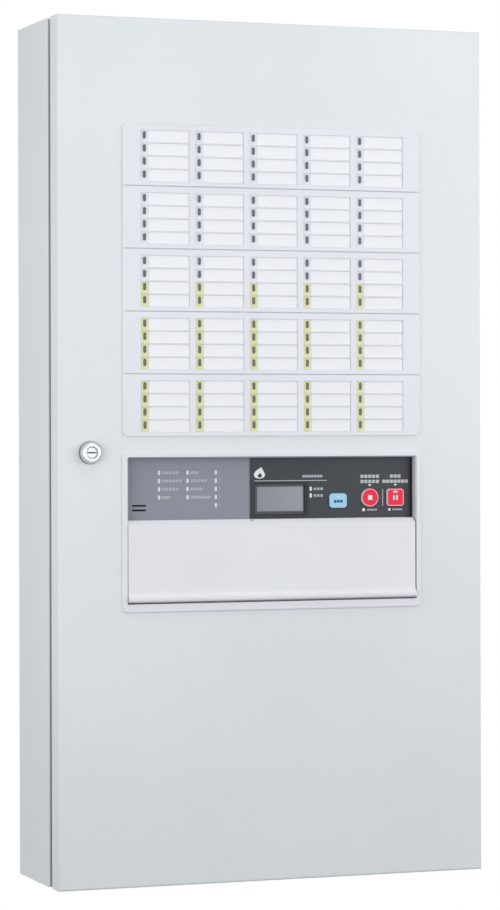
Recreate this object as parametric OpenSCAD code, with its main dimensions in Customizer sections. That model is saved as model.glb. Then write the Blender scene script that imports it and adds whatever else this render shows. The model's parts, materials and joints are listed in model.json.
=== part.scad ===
// Wall-hung fire alarm control panel: a folded steel cabinet with a hinged door that carries
// five zone window units, an operation unit with a drop-down flap, and a cam lock.
// Origin: middle of the wall bolt pattern, on the back face. +X right, +Z up, the door faces -Y.

/* [Cabinet] */
// Width of the cabinet
cab_w = 500; // [480:1:600]
// Height of the cabinet
cab_h = 950; // [930:1:1100]
// Depth of the back box
box_d = 117; // [112:1:170]
// Groove between the back box and the door
groove_w = 11; // [10:0.5:13]
// Depth of the door's skirt
door_d = 26; // [24:0.5:32]
// Thickness of the sheet steel
sheet_t = 1.6; // [1.2:0.1:2]
// Outside radius of the sheet's bends
bend_r = 2.4; // [2:0.1:4]
// Width of the back box's front flange
flange_w = 14; // [13:0.5:17]
// Reach of the back box's neck into the door
neck_in = 16; // [12:0.5:18]
// Gap round the front frame in the back box
frame_gap = 0.05; // [0.02:0.01:0.2]
// Width of the door's foam seal
seal_w = 10; // [6:0.5:12]
// Gap between the seal and the neck
seal_gap = 0.3; // [0.1:0.1:1]
// Height of the channels that stiffen the door
stiff_h = 30; // [20:1:40]
// Depth of those channels
stiff_d = 14; // [10:0.5:16]
// Sheet thickness of those channels
stiff_wall = 1.2; // [1:0.1:2]
// Distance of those channels from the clamp bars
stiff_gap = 12; // [4:0.5:20]
// Distance of those channels' ends from the neck
stiff_in = 16; // [8:0.5:30]

/* [Wall mount and cable entries] */
// Spacing of the wall bolts across the cabinet
wall_dx = 400; // [392:1:430]
// Spacing of the wall bolts up the cabinet
wall_dz = 850; // [835:1:890]
// Diameter of the wall bolt holes
wall_hole_d = 9; // [6:0.5:11]
// Spacing of the cable entries in the top
entry_dx = 120; // [60:1:150]
// Distance of the cable entries from the wall
entry_y = 60; // [45:1:75]
// Diameter of the holes for the cable grommets
entry_d = 28; // [24:0.5:34]
// Diameter of the bore through a grommet
grommet_bore = 20; // [12:0.5:21]
// Width and thickness of a grommet's lips
grommet_lip = 2.5; // [1.5:0.1:4]
// Clearance between a grommet and its hole
grommet_gap = 0.1; // [0.05:0.05:0.3]

/* [Door hinges] */
// Distance between one hinge and the next
hinge_dz = 330; // [250:1:400]
// Length of one hinge knuckle
knuckle_l = 20; // [14:0.5:30]
// Outside diameter of a knuckle
barrel_d = 9; // [8:0.1:9.4]
// Diameter of the hinge pin
hinge_pin_d = 5; // [4:0.1:6]
// Radial clearance of the hinge pin
pin_gap = 0.05; // [0.02:0.01:0.1]
// Distance of the hinge axis inside the cabinet's side
hinge_in = 2; // [1:0.1:2.4]
// Thickness of the hinge leaves
leaf_t = 2; // [1.6:0.1:2.5]
// Length of the door's hinge leaves past the axis
leaf_l = 20; // [12:0.5:23]
// Gap between two knuckles
knuckle_gap = 0.4; // [0.2:0.1:1]
// Height of a hinge pin's head
pin_head_h = 2; // [1:0.1:4]

/* [Zone units] */
// Width of a zone unit
zone_w = 350; // [340:0.5:356]
// Height of a zone unit
zone_h = 67.7; // [66:0.1:68]
// Seam between two zone units
zone_seam = 0.8; // [0.4:0.1:1]
// Distance of the stack's top edge below the cabinet's top
zone_drop = 115.7; // [100:0.1:118]
// Sideways shift of the units from the door's centre line
unit_off = -1; // [-3:0.5:3]
// Thickness of a zone unit in front of the door
zone_proud = 2.2; // [2:0.1:4]
// Corner radius of the whole stack
zone_r = 6; // [3:0.5:8]
// Corner radius where two units meet
seam_r = 1; // [0.5:0.1:2]
// Overlap of the unit's rim on the door
zone_lip = 6; // [4:0.5:7]
// Depth of the units behind the door's face
unit_depth = 24; // [22:0.5:30]
// Wall thickness of the moulded units
unit_wall = 2; // [1.6:0.1:2.5]
// Clearance of the units in the door's cut-outs
unit_gap = 0.3; // [0.1:0.1:0.8]
// Width of a window
win_w = 56.5; // [50:0.5:58]
// Distance between one window and the next
win_dx = 63.4; // [61:0.1:64]
// Height of one row of a window, rib included
row_h = 14.28; // [13:0.02:14.6]
// Height of the rib between two rows
rib_h = 0.9; // [0.6:0.1:1.5]
// Distance of the first row below the unit's top edge
row_top = 6.5; // [5.5:0.1:7.5]
// Depth of a window
win_d = 1.5; // [1:0.1:1.6]
// Thickness of the label cards and the markers
card_t = 0.4; // [0.2:0.1:0.6]
// Gap round a card in its window
card_gap = 0.3; // [0.1:0.1:0.5]
// Width of the marker round a lamp lens
mark_w = 8.8; // [8:0.1:12]
// Width of a lamp lens
lens_w = 3.4; // [2.4:0.1:5]
// Height of a lamp lens
lens_h = 8; // [6:0.1:9]
// Thickness of a lamp lens
lens_t = 0.9; // [0.6:0.1:1.2]
// Height of the lens above the middle of its row
lens_up = 1; // [0:0.1:1.2]
// Height of the pillars under a zone board
board_up = 8; // [5:0.5:10]
// Thickness of the circuit boards
board_t = 1.6; // [1:0.1:2]
// Diameter of the units' screw bosses
boss_d = 8; // [7:0.5:10]
// Distance of the clamp bars from the units' middle
bar_dx = 120; // [100:1:124]
// Width of a clamp bar
bar_w = 20; // [14:1:24]
// Thickness of a clamp bar
bar_t = 2; // [1.6:0.1:3]
// Reach of the clamp bars past the units
bar_over = 10; // [6:0.5:16]
// Diameter of the units' screws
unit_screw_d = 3; // [2.5:0.1:4]
// Length of the units' screws in their bosses
unit_screw_l = 10; // [6:0.5:14]

/* [Operation unit] */
// Width of the bezel
op_w = 352; // [350:0.5:358]
// Height of the bezel
op_h = 174.9; // [174:0.1:180]
// Gap between the zone stack and the bezel
unit_space = 17.6; // [13:0.1:30]
// Thickness of the bezel in front of the door
op_proud = 2.5; // [2:0.1:4]
// Width of the bezel's rim
op_rim = 5.2; // [5:0.1:6]
// Extra height of the rim below the flap
op_sill = 3.9; // [3:0.1:5]
// Corner radius of the bezel
op_r = 6; // [3:0.5:8]
// Depth of the recess behind the bezel's front
recess_d = 10.5; // [10:0.1:11.5]
// Radius of the recess's upper corners
rec_r = 2; // [1:0.1:3]
// Thickness of the tray and the switch deck
tray_t = 2; // [1.5:0.1:2.5]
// Height of the indicator tray
tray_h = 68.8; // [67:0.1:69.5]
// Thickness of the tray's side walls
tray_wall = 1; // [0.8:0.1:1.6]
// Gap round the tray, the deck and the panel
tray_gap = 0.2; // [0.1:0.05:0.4]
// Width of the ledge that the tray and the deck sit on
ledge_w = 4; // [2:0.5:5]
// Thickness of that ledge
ledge_t = 2; // [1.5:0.1:3]
// Width of the dark display panel
panel_w = 194.15; // [190:0.05:196]
// Gap between the display panel and the tray's walls
panel_gap = 0.6; // [0.2:0.1:1]
// Thickness of the display panel
panel_t = 1.2; // [0.8:0.1:2]
// Gap between the tray and the control board
control_gap = 11; // [10:0.5:11.5]
// Diameter of the control board's pillars
pillar_d = 6; // [5:0.5:8]
// Width of the display window
lcd_w = 59; // [52:0.5:60]
// Height of the display window
lcd_h = 31.8; // [28:0.1:33]
// Bevel round the display window
lcd_bevel = 1.6; // [0.8:0.1:2.2]
// Overlap of the display lens behind the tray
lcd_rim = 2.5; // [1.5:0.1:2.8]
// Thickness of the display lens
lcd_lens_t = 1; // [0.6:0.1:1.2]
// Thickness of the display module behind the tray
lcd_t = 6; // [4:0.1:6.5]
// Width of a status lens
dot_w = 2.8; // [2:0.1:4]
// Height of a status lens
dot_h = 5; // [4.2:0.1:6.5]
// Height of a status lens above its panel
dot_t = 0.5; // [0.3:0.1:1]
// Distance between two columns of status lenses
dot_dx = 33; // [24:0.5:34]
// Distance between two rows of status lenses
dot_dz = 9.05; // [8:0.05:9.5]
// Width of a speaker slot
slot_w = 16; // [10:0.5:18]
// Height of a speaker slot
slot_h = 1.8; // [1:0.1:2.5]
// Distance between the speaker slots
slot_dz = 5; // [4:0.1:6]
// Diameter of the speaker
speaker_d = 34; // [28:0.5:35]
// Depth of the speaker
speaker_t = 6; // [4:0.1:6.4]

/* [Places on the panels] */
// Distance of the display from the panel's left edge
lcd_in = 35.8; // [34:0.05:37]
// Distance of the display below the recess's top
lcd_drop = 47.4; // [43:0.1:48]
// Distance of the two lamps from the display
lamp_in = 6.3; // [5:0.05:9]
// Distance of the first lamp below the recess's top
lamp_drop = 36.3; // [30:0.1:40]
// Distance between the two lamps
lamp_dz = 7.6; // [6:0.1:10]
// Distance of the guide key from the panel's left edge
guide_in = 103.85; // [98:0.05:108]
// Distance of the stop key from the panel's left edge
stop_in = 142.4; // [136:0.1:144]
// Distance of the bell key from the panel's left edge
bell_in = 173.15; // [171:0.05:176]
// Distance of the keys below the recess's top
key_drop = 46.8; // [40:0.1:50]
// Distance of the guide key below the other keys
guide_drop = 3; // [0:0.5:6]
// Distance of the first status column from the panel's left edge
dot_in = 106.25; // [100:0.05:110]
// Distance of the first status row below the recess's top
dot_drop = 17.3; // [12:0.1:20]
// Distance of the speaker slots from the recess's side
slot_in = 16.3; // [14:0.1:20]
// Distance of the upper speaker slot below the recess's top
slot_drop = 53.3; // [47:0.1:54.5]
// Distance of the deck's switches below its top edge
deck_drop = 36; // [26:0.5:45]
// Distance of the reset key from the deck's middle
reset_in = 125; // [115:1:135]
// Distance of the test key from the deck's middle
test_in = 85; // [70:1:92]
// Distance of the slide switch from the deck's middle
slide_in = 30; // [20:1:45]
// Distance of the zone dial from the deck's middle
dial_in = 50; // [35:1:65]
// Distance of the telephone jack from the deck's middle
jack_in = 125; // [100:1:135]
// Distance of the loom's socket from the bezel's middle
socket_in = 140; // [134:1:145]
// Distance of the loom's socket below the bezel's top
socket_drop = 45; // [35:1:60]
// Side of the loom's socket
socket_w = 18; // [12:0.5:20]
// Height of the loom's socket
socket_t = 8; // [5:0.5:12]
// Side of the push switches on the control board
tact_w = 6; // [4:0.5:8]

/* [Keys and switches] */
// Width of the guide key
guide_w = 20.5; // [16:0.1:26]
// Height of the guide key
guide_h = 16; // [14:0.1:20]
// Diameter of the round stop key
stop_d = 20.7; // [16:0.1:22]
// Width of the square bell key
bell_w = 20.7; // [16:0.1:22]
// Height of the square bell key
bell_h = 19.8; // [16:0.1:22]
// Corner radius of the keys
key_r = 3.6; // [1:0.1:4]
// Height of a key above its panel
key_proud = 2; // [1.6:0.1:3]
// Travel of a key
key_travel = 1.5; // [1:0.1:1.6]
// Gap round a key
key_gap = 0.35; // [0.3:0.05:0.6]
// Gap between a key's flange and the back of its panel
key_seat = 0.2; // [0.1:0.05:0.3]
// Width of a key's flange
key_lip = 2; // [1.5:0.1:2.5]
// Thickness of a key's flange
key_flange_t = 1.2; // [0.8:0.1:1.6]
// Width of a key under the flap
soft_key_w = 20; // [12:0.5:24]
// Height of a key under the flap
soft_key_h = 12; // [8:0.5:16]
// Width of the slide switch's knob
slide_w = 8; // [5:0.5:10]
// Height of the slide switch's knob
slide_h = 6; // [4:0.5:8]
// Travel of the slide switch
slide_travel = 8; // [4:0.5:10]
// Diameter of the zone dial
dial_d = 28; // [20:0.5:32]
// Height of the zone dial
dial_t = 5.4; // [4:0.1:5.6]
// Diameter of the zone dial's shaft
dial_shaft_d = 6; // [4:0.1:8]
// Gap between the zone dial and the deck
dial_seat = 0.3; // [0.2:0.1:0.6]
// Diameter of the telephone jack's nut
jack_d = 14; // [11:0.5:18]
// Diameter of the telephone jack's bore
jack_bore = 6.4; // [6:0.1:7]
// Height of the telephone jack's nut
jack_t = 3; // [2:0.1:5]
// Radial clearance of turning shafts
turn_gap = 0.05; // [0.02:0.01:0.1]

/* [Flap] */
// Thickness of the flap
flap_t = 2.5; // [2:0.1:3]
// Gap above and behind the flap's top edge
flap_gap = 0.5; // [0.3:0.1:1]
// Gap beside the flap's ends
flap_side = 1.6; // [0.8:0.1:2]
// Distance of the flap's face behind the bezel's front
flap_back = 0.5; // [0.2:0.1:1]
// Height of the sloped top edge
flap_slope = 5; // [3:0.5:7]
// Depth of the sloped top edge
flap_turn = 5.6; // [4.5:0.1:6]
// Thickness of the flange behind the sloped edge
flap_top_t = 1.6; // [1.4:0.1:2]
// Fall of that flange towards the back
flap_fall = 0.8; // [0.6:0.1:1]
// Radius of the flap's edges
flap_edge = 0.6; // [0.3:0.1:0.6]
// Reach of the lip in front of the flap's face
lip_out = 4.5; // [3:0.1:4.8]
// Height of the lip
lip_h = 9; // [8:0.5:10]
// Height of the bevel under the lip
lip_bevel = 2.4; // [2:0.1:3]
// Wall of the hollow lip
lip_wall = 2; // [1.6:0.1:2.2]
// Gap between the lip and the recess's foot
lip_gap = 2.1; // [1.8:0.1:3]
// Diameter of the flap's hinge pins
flap_pin_d = 2.5; // [2:0.1:2.6]
// Length of a flap pin inside the flap
flap_pin_l = 8; // [5:0.5:12]
// Distance of the hinge pins behind the flap's face
flap_pin_in = 1.45; // [1.4:0.05:1.6]
// Height of the hinge pins above the lip's foot
flap_pin_up = 5.6; // [5.4:0.1:6]
// Wall round a flap pin
flap_boss = 1.6; // [1.2:0.1:2]
// Depth of the ribs behind the flap
flap_rib = 3; // [1.5:0.1:3.5]
// Width of the notch in the flap's top edge
notch_w = 4; // [2:0.5:6]

/* [Lock] */
// Distance of the lock from the cabinet's left side
lock_in = 36; // [35:0.5:38]
// Diameter of the lock's flange
lock_flange_d = 25; // [22:0.5:28]
// Thickness of the lock's flange
lock_flange_t = 1.5; // [1:0.1:3]
// Diameter of the lock's face
lock_face_d = 19.6; // [17:0.1:20]
// Height of the lock's face in front of the door
lock_proud = 9; // [6:0.1:10]
// Diameter of the lock's barrel
lock_barrel_d = 18; // [16:0.1:18.5]
// Gap between the lock's barrel and its hole
lock_gap = 0.25; // [0.1:0.05:0.5]
// Diameter of the key plug
plug_d = 11.6; // [9:0.1:12.5]
// Distance of the key plug behind the lock's face
plug_sink = 1.4; // [0.4:0.1:2]
// Bevel of the lock's bore
plug_rim = 1; // [0.5:0.1:1.5]
// Width of the key slot
key_slot_w = 8; // [6:0.1:9]
// Height of the key slot
key_slot_h = 1.4; // [1:0.1:2]
// Depth of the key slot
key_slot_d = 8; // [3:0.5:12]
// Width across the flats of the lock's nut
nut_w = 24; // [22:0.5:27]
// Thickness of the lock's nut
nut_t = 5; // [3:0.5:6]
// Reach of the cam from the lock's axis
cam_l = 19.5; // [18:0.5:19.5]
// Width of the cam
cam_w = 14; // [12:0.5:16]
// Thickness of the cam
cam_t = 2.5; // [2:0.1:3]
// Gap between the cam and the strike
cam_gap = 0.5; // [0.3:0.1:1]
// Width of the strike's blade
strike_w = 10; // [9:0.5:10.5]
// Length of the strike
strike_l = 40; // [30:1:60]
// Thickness of the strike's blade
strike_t = 2; // [1.6:0.1:3]
// Distance of the strike behind the neck's front edge
strike_in = 10; // [8:0.5:11]
// Reach of the strike's foot along the neck
strike_foot = 7; // [5:0.5:7.5]
// Diameter of the cam's screw
cam_screw_d = 5; // [4:0.1:6]
// Length of the cam's screw in the plug
cam_screw_l = 7; // [5:0.5:9]
// Clearance of the lock's nut on its barrel
nut_gap = 0.1; // [0.05:0.05:0.3]

/* [Chassis] */
// Width of the chassis plate
plate_w = 370; // [366:1:380]
// Height of the chassis plate
plate_h = 800; // [794:1:820]
// Thickness of the chassis plate
plate_t = 2; // [1.6:0.1:3]
// Height of the posts under the chassis plate
post_h = 20; // [15:0.5:25]
// Diameter of the posts
post_d = 12; // [10:0.5:16]
// Diameter of the chassis screws
chassis_screw_d = 4; // [3:0.1:5]
// Distance of the posts from the plate's edges
post_in = 14; // [10:0.5:16]
// Width of the circuit boards on the chassis
card_w = 300; // [280:1:310]
// Height of the line board
line_h = 110; // [90:1:112]
// Height of the relay board
relay_h = 80; // [60:1:84]
// Height of the boards above the plate
board_lift = 10; // [6:0.5:16]
// Length of the terminal strips
strip_l = 300; // [280:1:320]
// Height of a terminal strip
strip_h = 24; // [20:0.5:28]
// Depth of a terminal strip
strip_d = 22; // [16:0.5:28]
// Number of terminals in a strip
strip_n = 24; // [12:1:26]
// Height of a wire duct
duct_h = 40; // [30:1:44]
// Depth of a wire duct
duct_d = 40; // [30:1:46]
// Wall thickness of a wire duct
duct_wall = 1.6; // [1:0.1:2.5]
// Width of the power supply's case
supply_w = 140; // [100:1:150]
// Height of the power supply's case
supply_h = 110; // [90:1:115]
// Depth of the power supply's case
supply_d = 55; // [40:1:60]
// Width of the transformer's core
core_w = 84; // [70:1:90]
// Height of the transformer's core
core_h = 70; // [60:1:80]
// Depth of the transformer's core
core_d = 40; // [30:1:50]
// Width of the mains switch
switch_w = 36; // [26:1:40]
// Height of the mains switch
switch_h = 78; // [60:1:84]
// Depth of the mains switch
switch_d = 50; // [40:1:56]
// Width of the mains switch's lever
lever_w = 8; // [5:0.5:12]
// Width of the battery pack
battery_w = 220; // [160:1:240]
// Height of the battery pack
battery_h = 110; // [80:1:114]
// Depth of the battery pack
battery_d = 62; // [40:1:66]
// Gap between the power supply and the battery pack
battery_gap = 40; // [20:1:60]
// Clearance of the battery pack in its tray
battery_fit = 0.2; // [0.1:0.05:0.5]
// Width of the battery tray's sides and bar
battery_lip = 12; // [8:0.5:20]
// Thickness of the brackets and cases on the chassis
bracket_t = 1.6; // [1:0.1:3]
// Gap between two rows on the chassis
row_gap = 24; // [14:1:26]
// Distance of the terminal strips from the plate's top
strip_in = 38; // [30:1:44]
// Gap between the terminal strips
strip_gap = 16; // [10:1:20]
// Distance of the power supply from the plate's side, and of the transformer from it
side_in = 18; // [10:1:20]
// Width of the transformer's feet
core_foot = 14; // [10:0.5:16]
// Distance of the mains switch from the plate's side
switch_in = 8; // [5:0.5:10]
// Depth of the lever's axis inside the mains switch
lever_in = 3; // [2:0.5:5]
// Radius of the lever's hub
lever_hub_r = 7; // [5:0.5:9]
// Diameter of the lever's trunnions
trunnion_d = 4; // [3:0.1:5]
// Reach of the lever in front of its hub
lever_l = 11; // [8:0.5:16]
// Thickness of the lever
lever_t = 6; // [4:0.5:8]
// Distance of the earth stud from the plate's side and from the mains switch
earth_in = 25; // [15:1:30]
// Diameter of the earth stud
earth_d = 6; // [4:0.5:8]
// Length of the earth stud
earth_l = 18; // [12:0.5:24]
// Free margin beside the parts on a board
part_side = 15; // [8:1:20]
// Free margin above and below the parts on a board
part_end = 13; // [8:1:16]
// Height of the lowest parts on a board
part_low = 8; // [5:0.5:12]
// Step between the heights of the parts
part_step = 4; // [1:0.5:5]
// Distance of a board's pillars from its edges
pillar_in = 8; // [6:0.5:10]
// Free margin above and below the power supply's slots
grille_in = 10; // [6:0.5:20]
// Height of a slot in the power supply
grille_h = 3.5; // [2:0.1:5]
// Reach of the winding past the core
coil_over = 8; // [4:0.5:12]
// Distance of a battery tab from the battery's middle
tab_dx = 22; // [12:1:30]
// Width of a battery tab
tab_w = 6; // [4:0.5:8]
// Height of a battery tab
tab_h = 8; // [5:0.5:12]
// Thickness of a battery tab
tab_t = 1; // [0.6:0.1:2]
// Diameter of the wiring loom to the door
loom_d = 9; // [6:0.5:10]
// Gap between the loom and what it lies on
loom_gap = 0.3; // [0.2:0.1:1]

/* [Hidden] */
$fn = 64;

// Overrun of a cut past the face it opens
cut = 1;
// Drive recess of the screws, as a share of their own size
drive_share = 0.5;

// Planes of the cabinet, counted along Y from the wall
y_flange = -box_d;
y_skirt = y_flange - groove_w;
y_front = y_skirt - door_d;
y_inner = y_front + sheet_t;
y_tip = y_skirt - neck_in;
open_w = cab_w - 2 * flange_w;
open_h = cab_h - 2 * flange_w;
seal_t = y_tip - y_inner - seal_gap;
stiff_l = open_w - 2 * stiff_in;

// Hinge axis of the door
hinge_x = cab_w / 2 - hinge_in;
hinge_y = (y_flange + y_skirt) / 2;

// Zone units
zone_n = 5;
win_n = 5;
row_n = 4;
zone_top = cab_h / 2 - zone_drop;
zone_dz = zone_h + zone_seam;
stack_h = zone_n * zone_dz - zone_seam;
y_zone = y_front - zone_proud;
y_pocket = y_zone + win_d;
pocket_h = row_h - rib_h;
core_zw = zone_w - 2 * zone_lip;
core_zh = zone_h - 2 * zone_lip;
zone_floor = 3;
y_unit = y_front + unit_depth;
y_zone_board = y_front + zone_floor + board_up + board_t;
first_yellow_unit = 3;
first_yellow_row = 3;

// Operation unit
op_top = zone_top - stack_h - unit_space;
y_op = y_front - op_proud;
y_floor = y_op + recess_d;
y_tray = y_floor + tray_t;
op_z = op_top - op_h / 2;
rec_w = op_w - 2 * op_rim;
rec_h = op_h - 2 * op_rim - op_sill;
rec_top = op_top - op_rim;
rec_foot = rec_top - rec_h;
rec_z = rec_top - rec_h / 2;
low_r = 0.5;
tub_w = rec_w + 2 * unit_wall;
tub_h = rec_h + 2 * unit_wall;
tray_w = rec_w - 2 * tray_gap;
tray_z = rec_top - tray_gap - tray_h / 2;
deck_top = rec_top - tray_gap - tray_h - tray_gap;
deck_h = deck_top - rec_foot - tray_gap;
deck_z = deck_top - deck_h / 2;
y_panel = y_floor - panel_t;
panel_h = tray_h - tray_wall - panel_gap;
panel_x = unit_off + tray_w / 2 - tray_wall - panel_gap - panel_w / 2;
panel_z = tray_z - tray_h / 2 + panel_h / 2;
panel_left = panel_x - panel_w / 2;
y_control = y_tray + control_gap;
control_w = rec_w - 2 * ledge_w - 2 * cut;
control_h = rec_h - 2 * boss_d - 2 * cut;

// Clamp bars
bar_top = zone_top + bar_over;
bar_foot = op_top - op_h - bar_over;
op_boss_z = [rec_top - boss_d / 2, rec_foot + boss_d / 2];

// Places on the display panel and the tray, from the panel's left edge and the recess's top
lcd_x = panel_left + lcd_in;
lcd_z = rec_top - lcd_drop;
lamp_x = lcd_x + lcd_w / 2 + lamp_in;
lamp_z = rec_top - lamp_drop;
key_z = rec_top - key_drop;
guide_x = panel_left + guide_in;
guide_z = key_z - guide_drop;
stop_x = panel_left + stop_in;
bell_x = panel_left + bell_in;
dot_x = panel_left - dot_in;
dot_z = rec_top - dot_drop;
dot_rows = [4, 4, 5];
slot_x = unit_off - rec_w / 2 + slot_in;
slot_z = rec_top - slot_drop;
speaker_x = unit_off - rec_w / 2 + ledge_w + tray_gap + speaker_d / 2;
speaker_z = slot_z - slot_dz / 2;

// Places on the switch deck
deck_key_z = deck_top - deck_drop;
reset_x = unit_off - reset_in;
test_x = unit_off - test_in;
slide_x = unit_off - slide_in;
dial_x = unit_off + dial_in;
jack_x = unit_off + jack_in;

// Flap, hinged at its foot
flap_w = rec_w - 2 * flap_side;
y_flap = y_op + flap_back;
flap_top = deck_top - flap_gap;
lip_foot = rec_foot + lip_gap;
flap_pin_y = y_flap + flap_pin_in;
flap_pin_z = lip_foot + flap_pin_up;
y_flap_top = y_floor - flap_gap;

// Lock
lock_x = -cab_w / 2 + lock_in;
y_strike = y_tip + strike_in;
y_cam = y_strike + strike_t + cam_gap;

// Chassis: the plate's front face and what stands on it
y_plate = -sheet_t - post_h - plate_t;
post_x = plate_w / 2 - post_in;
post_z = [for (k = [-1, 0, 1]) k * (plate_h / 2 - post_in)];
post_bore_l = 12;
strip_1_z = plate_h / 2 - strip_in - strip_h / 2;
strip_2_z = strip_1_z - strip_h - strip_gap;
strip_z = [strip_1_z, strip_2_z];
duct_1_z = strip_2_z - strip_h / 2 - row_gap - duct_h / 2;
line_z = duct_1_z - duct_h / 2 - row_gap - line_h / 2;
relay_z = line_z - line_h / 2 - row_gap - relay_h / 2;
duct_2_z = relay_z - relay_h / 2 - row_gap - duct_h / 2;
duct_z = [duct_1_z, duct_2_z];
supply_x = -plate_w / 2 + side_in + supply_w / 2;
supply_z = duct_2_z - duct_h / 2 - row_gap - supply_h / 2;
core_x = supply_x + supply_w / 2 + core_foot + side_in + core_w / 2;
switch_x = plate_w / 2 - switch_in - switch_w / 2;
battery_z = supply_z - supply_h / 2 - battery_gap - battery_h / 2;
earth_x = plate_w / 2 - earth_in;
earth_z = supply_z - switch_h / 2 - earth_in;
y_board = y_plate - board_lift;
y_lever = y_plate - switch_d + lever_in;
screw_head_share = 1.9;

// Loom: a hand-laid route from the upper duct's end to the plug on the control board
loom_sides = 8;
socket_x = unit_off + socket_in;
socket_z = op_top - socket_drop;
y_socket = y_control + board_t + socket_t;
duct_end = card_w / 2;
loom_x = unit_off + tub_w / 2 + loom_gap + loom_d / 2;
y_loom = y_inner + loom_gap + loom_d / 2;
loom_route = [
    [duct_end, y_plate - duct_d / 2, duct_1_z],
    [duct_end + 14, y_plate - duct_d / 2, duct_1_z],
    [hinge_x - 67, hinge_y + 74.5, duct_1_z - 3],
    [hinge_x - 51, hinge_y + 64.5, duct_1_z - 9],
    [hinge_x - 40, hinge_y + 49.5, duct_1_z - 19],
    [hinge_x - 35, hinge_y + 31.5, duct_1_z - 34],
    [hinge_x - 36, hinge_y + 13.5, duct_1_z - 52],
    [hinge_x - 41, hinge_y - 2.5, duct_1_z - 73],
    [hinge_x - 49, hinge_y - 15.5, duct_1_z - 96],
    [loom_x + 11, y_loom + 2, duct_1_z - 118],
    [loom_x + 4, y_loom, duct_1_z - 142],
    [loom_x, y_loom, duct_1_z - 170],
    [loom_x, y_loom, socket_z + 99],
    [loom_x, y_loom + 2, socket_z + 75],
    [loom_x + 1, y_loom + 10, socket_z + 53],
    [loom_x + 1, y_socket - 1, socket_z + 35],
    [loom_x - 6, y_socket + 12, socket_z + 23],
    [socket_x + 20, y_socket + 23, socket_z + 13],
    [socket_x + 7, y_socket + 25, socket_z + 5],
    [socket_x + 1, y_socket + 18, socket_z + 1],
    [socket_x, y_socket + 9, socket_z],
    [socket_x, y_socket + loom_gap, socket_z]
];

// Plate that stands on plane y and reaches t towards the front
module slab(x, z, w, h, y, t) {
    translate([x - w / 2, y - t, z - h / 2]) cube([w, t, h]);
}

// Outline extruded from plane y towards the front
module forward(x, z, y, t) {
    translate([x, y, z]) rotate([90, 0, 0]) linear_extrude(t) children();
}

// Cylinder from plane y towards the front
module rod(x, z, d, y, t) {
    translate([x, y, z]) rotate([90, 0, 0]) cylinder(d = d, h = t);
}

// Profile in the YZ plane, extruded along X
module along_x(x, l) {
    translate([x, 0, 0]) rotate([90, 0, 90]) linear_extrude(l) children();
}

// Rectangle with one radius at the top corners and one at the bottom corners
module round_rect(w, h, r_top, r_foot) {
    difference() {
        square([w, h], center = true);
        for (s = [-1, 1]) {
            corner_cut(s, 1, w, h, r_top);
            corner_cut(s, -1, w, h, r_foot);
        }
    }
}

// Waste outside one rounded corner
module corner_cut(sx, sz, w, h, r) {
    translate([sx * (w / 2 - r), sz * (h / 2 - r)]) difference() {
        translate([sx * (r + cut) / 2, sz * (r + cut) / 2]) square(r + cut, center = true);
        circle(r);
    }
}

// Rounded plate
module soft_slab(x, z, w, h, y, t, r) {
    forward(x, z, y, t) round_rect(w, h, r, r);
}

// Upright oval with half-round ends
module oval(w, h) {
    square([w, h - w], center = true);
    for (s = [-1, 1]) translate([0, s * (h - w) / 2]) circle(d = w);
}

// Folded pan or box whose front edges are rounded
module pan(w, h, d, y) {
    intersection() {
        translate([0, 0, -h / 2]) linear_extrude(h) pan_outline(w, d, y);
        rotate([0, 90, 0]) translate([0, 0, -w / 2]) linear_extrude(w) pan_outline(h, d, y);
    }
}

// Outline of a pan, square at the back and rounded at the front
module pan_outline(w, d, y) {
    translate([-w / 2, y - d + bend_r]) square([w, d - bend_r]);
    translate([-w / 2 + bend_r, y - d]) square([w - 2 * bend_r, d]);
    for (s = [-1, 1]) translate([s * (w / 2 - bend_r), y - d + bend_r]) circle(bend_r);
}

// Pan-head screw: the head stands on plane y and faces along dir, the shank goes the other way
module screw(x, z, d, l, y, dir) {
    head_d = d * screw_head_share;
    head_t = d * 0.6;
    translate([x, y, z]) rotate([90 * dir, 0, 0]) difference() {
        union() {
            cylinder(d = head_d, h = head_t);
            translate([0, 0, -l]) cylinder(d = d, h = l);
        }
        for (a = [0, 90]) rotate(a)
            translate([-d * drive_share, -d / 10, head_t / 2]) cube([2 * d * drive_share, d / 5, head_t]);
    }
}

// Middle of zone unit i, counted from the top
function zone_z(i) = zone_top - zone_h / 2 - (i - 1) * zone_dz;
// Left edge of window c
function win_x(c) = unit_off - ((win_n - 1) * win_dx + win_w) / 2 + (c - 1) * win_dx;
// Middle of row r in unit i
function row_z(i, r) = zone_z(i) + zone_h / 2 - row_top - (r - 1) * row_h - rib_h / 2 - pocket_h / 2;
// Whether a row has a yellow marker
function is_yellow(i, r) = i > first_yellow_unit || (i == first_yellow_unit && r >= first_yellow_row);
// Middle of a lamp lens across
function lens_x(c) = win_x(c) + card_gap + mark_w / 2;
// Middle of hinge k
function hinge_z(k) = (k - 2) * hinge_dz;

// Back box
module back_box() {
    color("gainsboro") difference() {
        union() {
            difference() {
                pan(cab_w, cab_h, box_d, 0);
                slab(0, 0, cab_w - 2 * sheet_t, cab_h - 2 * sheet_t, -sheet_t, box_d);
            }
            for (x = [-post_x, post_x], z = post_z) rod(x, z, post_d, -sheet_t, post_h);
        }
        for (x = [-post_x, post_x], z = post_z)
            rod(x, z, chassis_screw_d + 2 * turn_gap, -sheet_t - post_h + post_bore_l, post_bore_l + cut);
        for (x = [-wall_dx / 2, wall_dx / 2], z = [-wall_dz / 2, wall_dz / 2])
            rod(x, z, wall_hole_d, cut, sheet_t + 2 * cut);
        for (k = [-1, 0, 1])
            translate([k * entry_dx, -entry_y, cab_h / 2 - sheet_t - cut])
                cylinder(d = entry_d, h = sheet_t + 2 * cut);
    }
}

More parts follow.
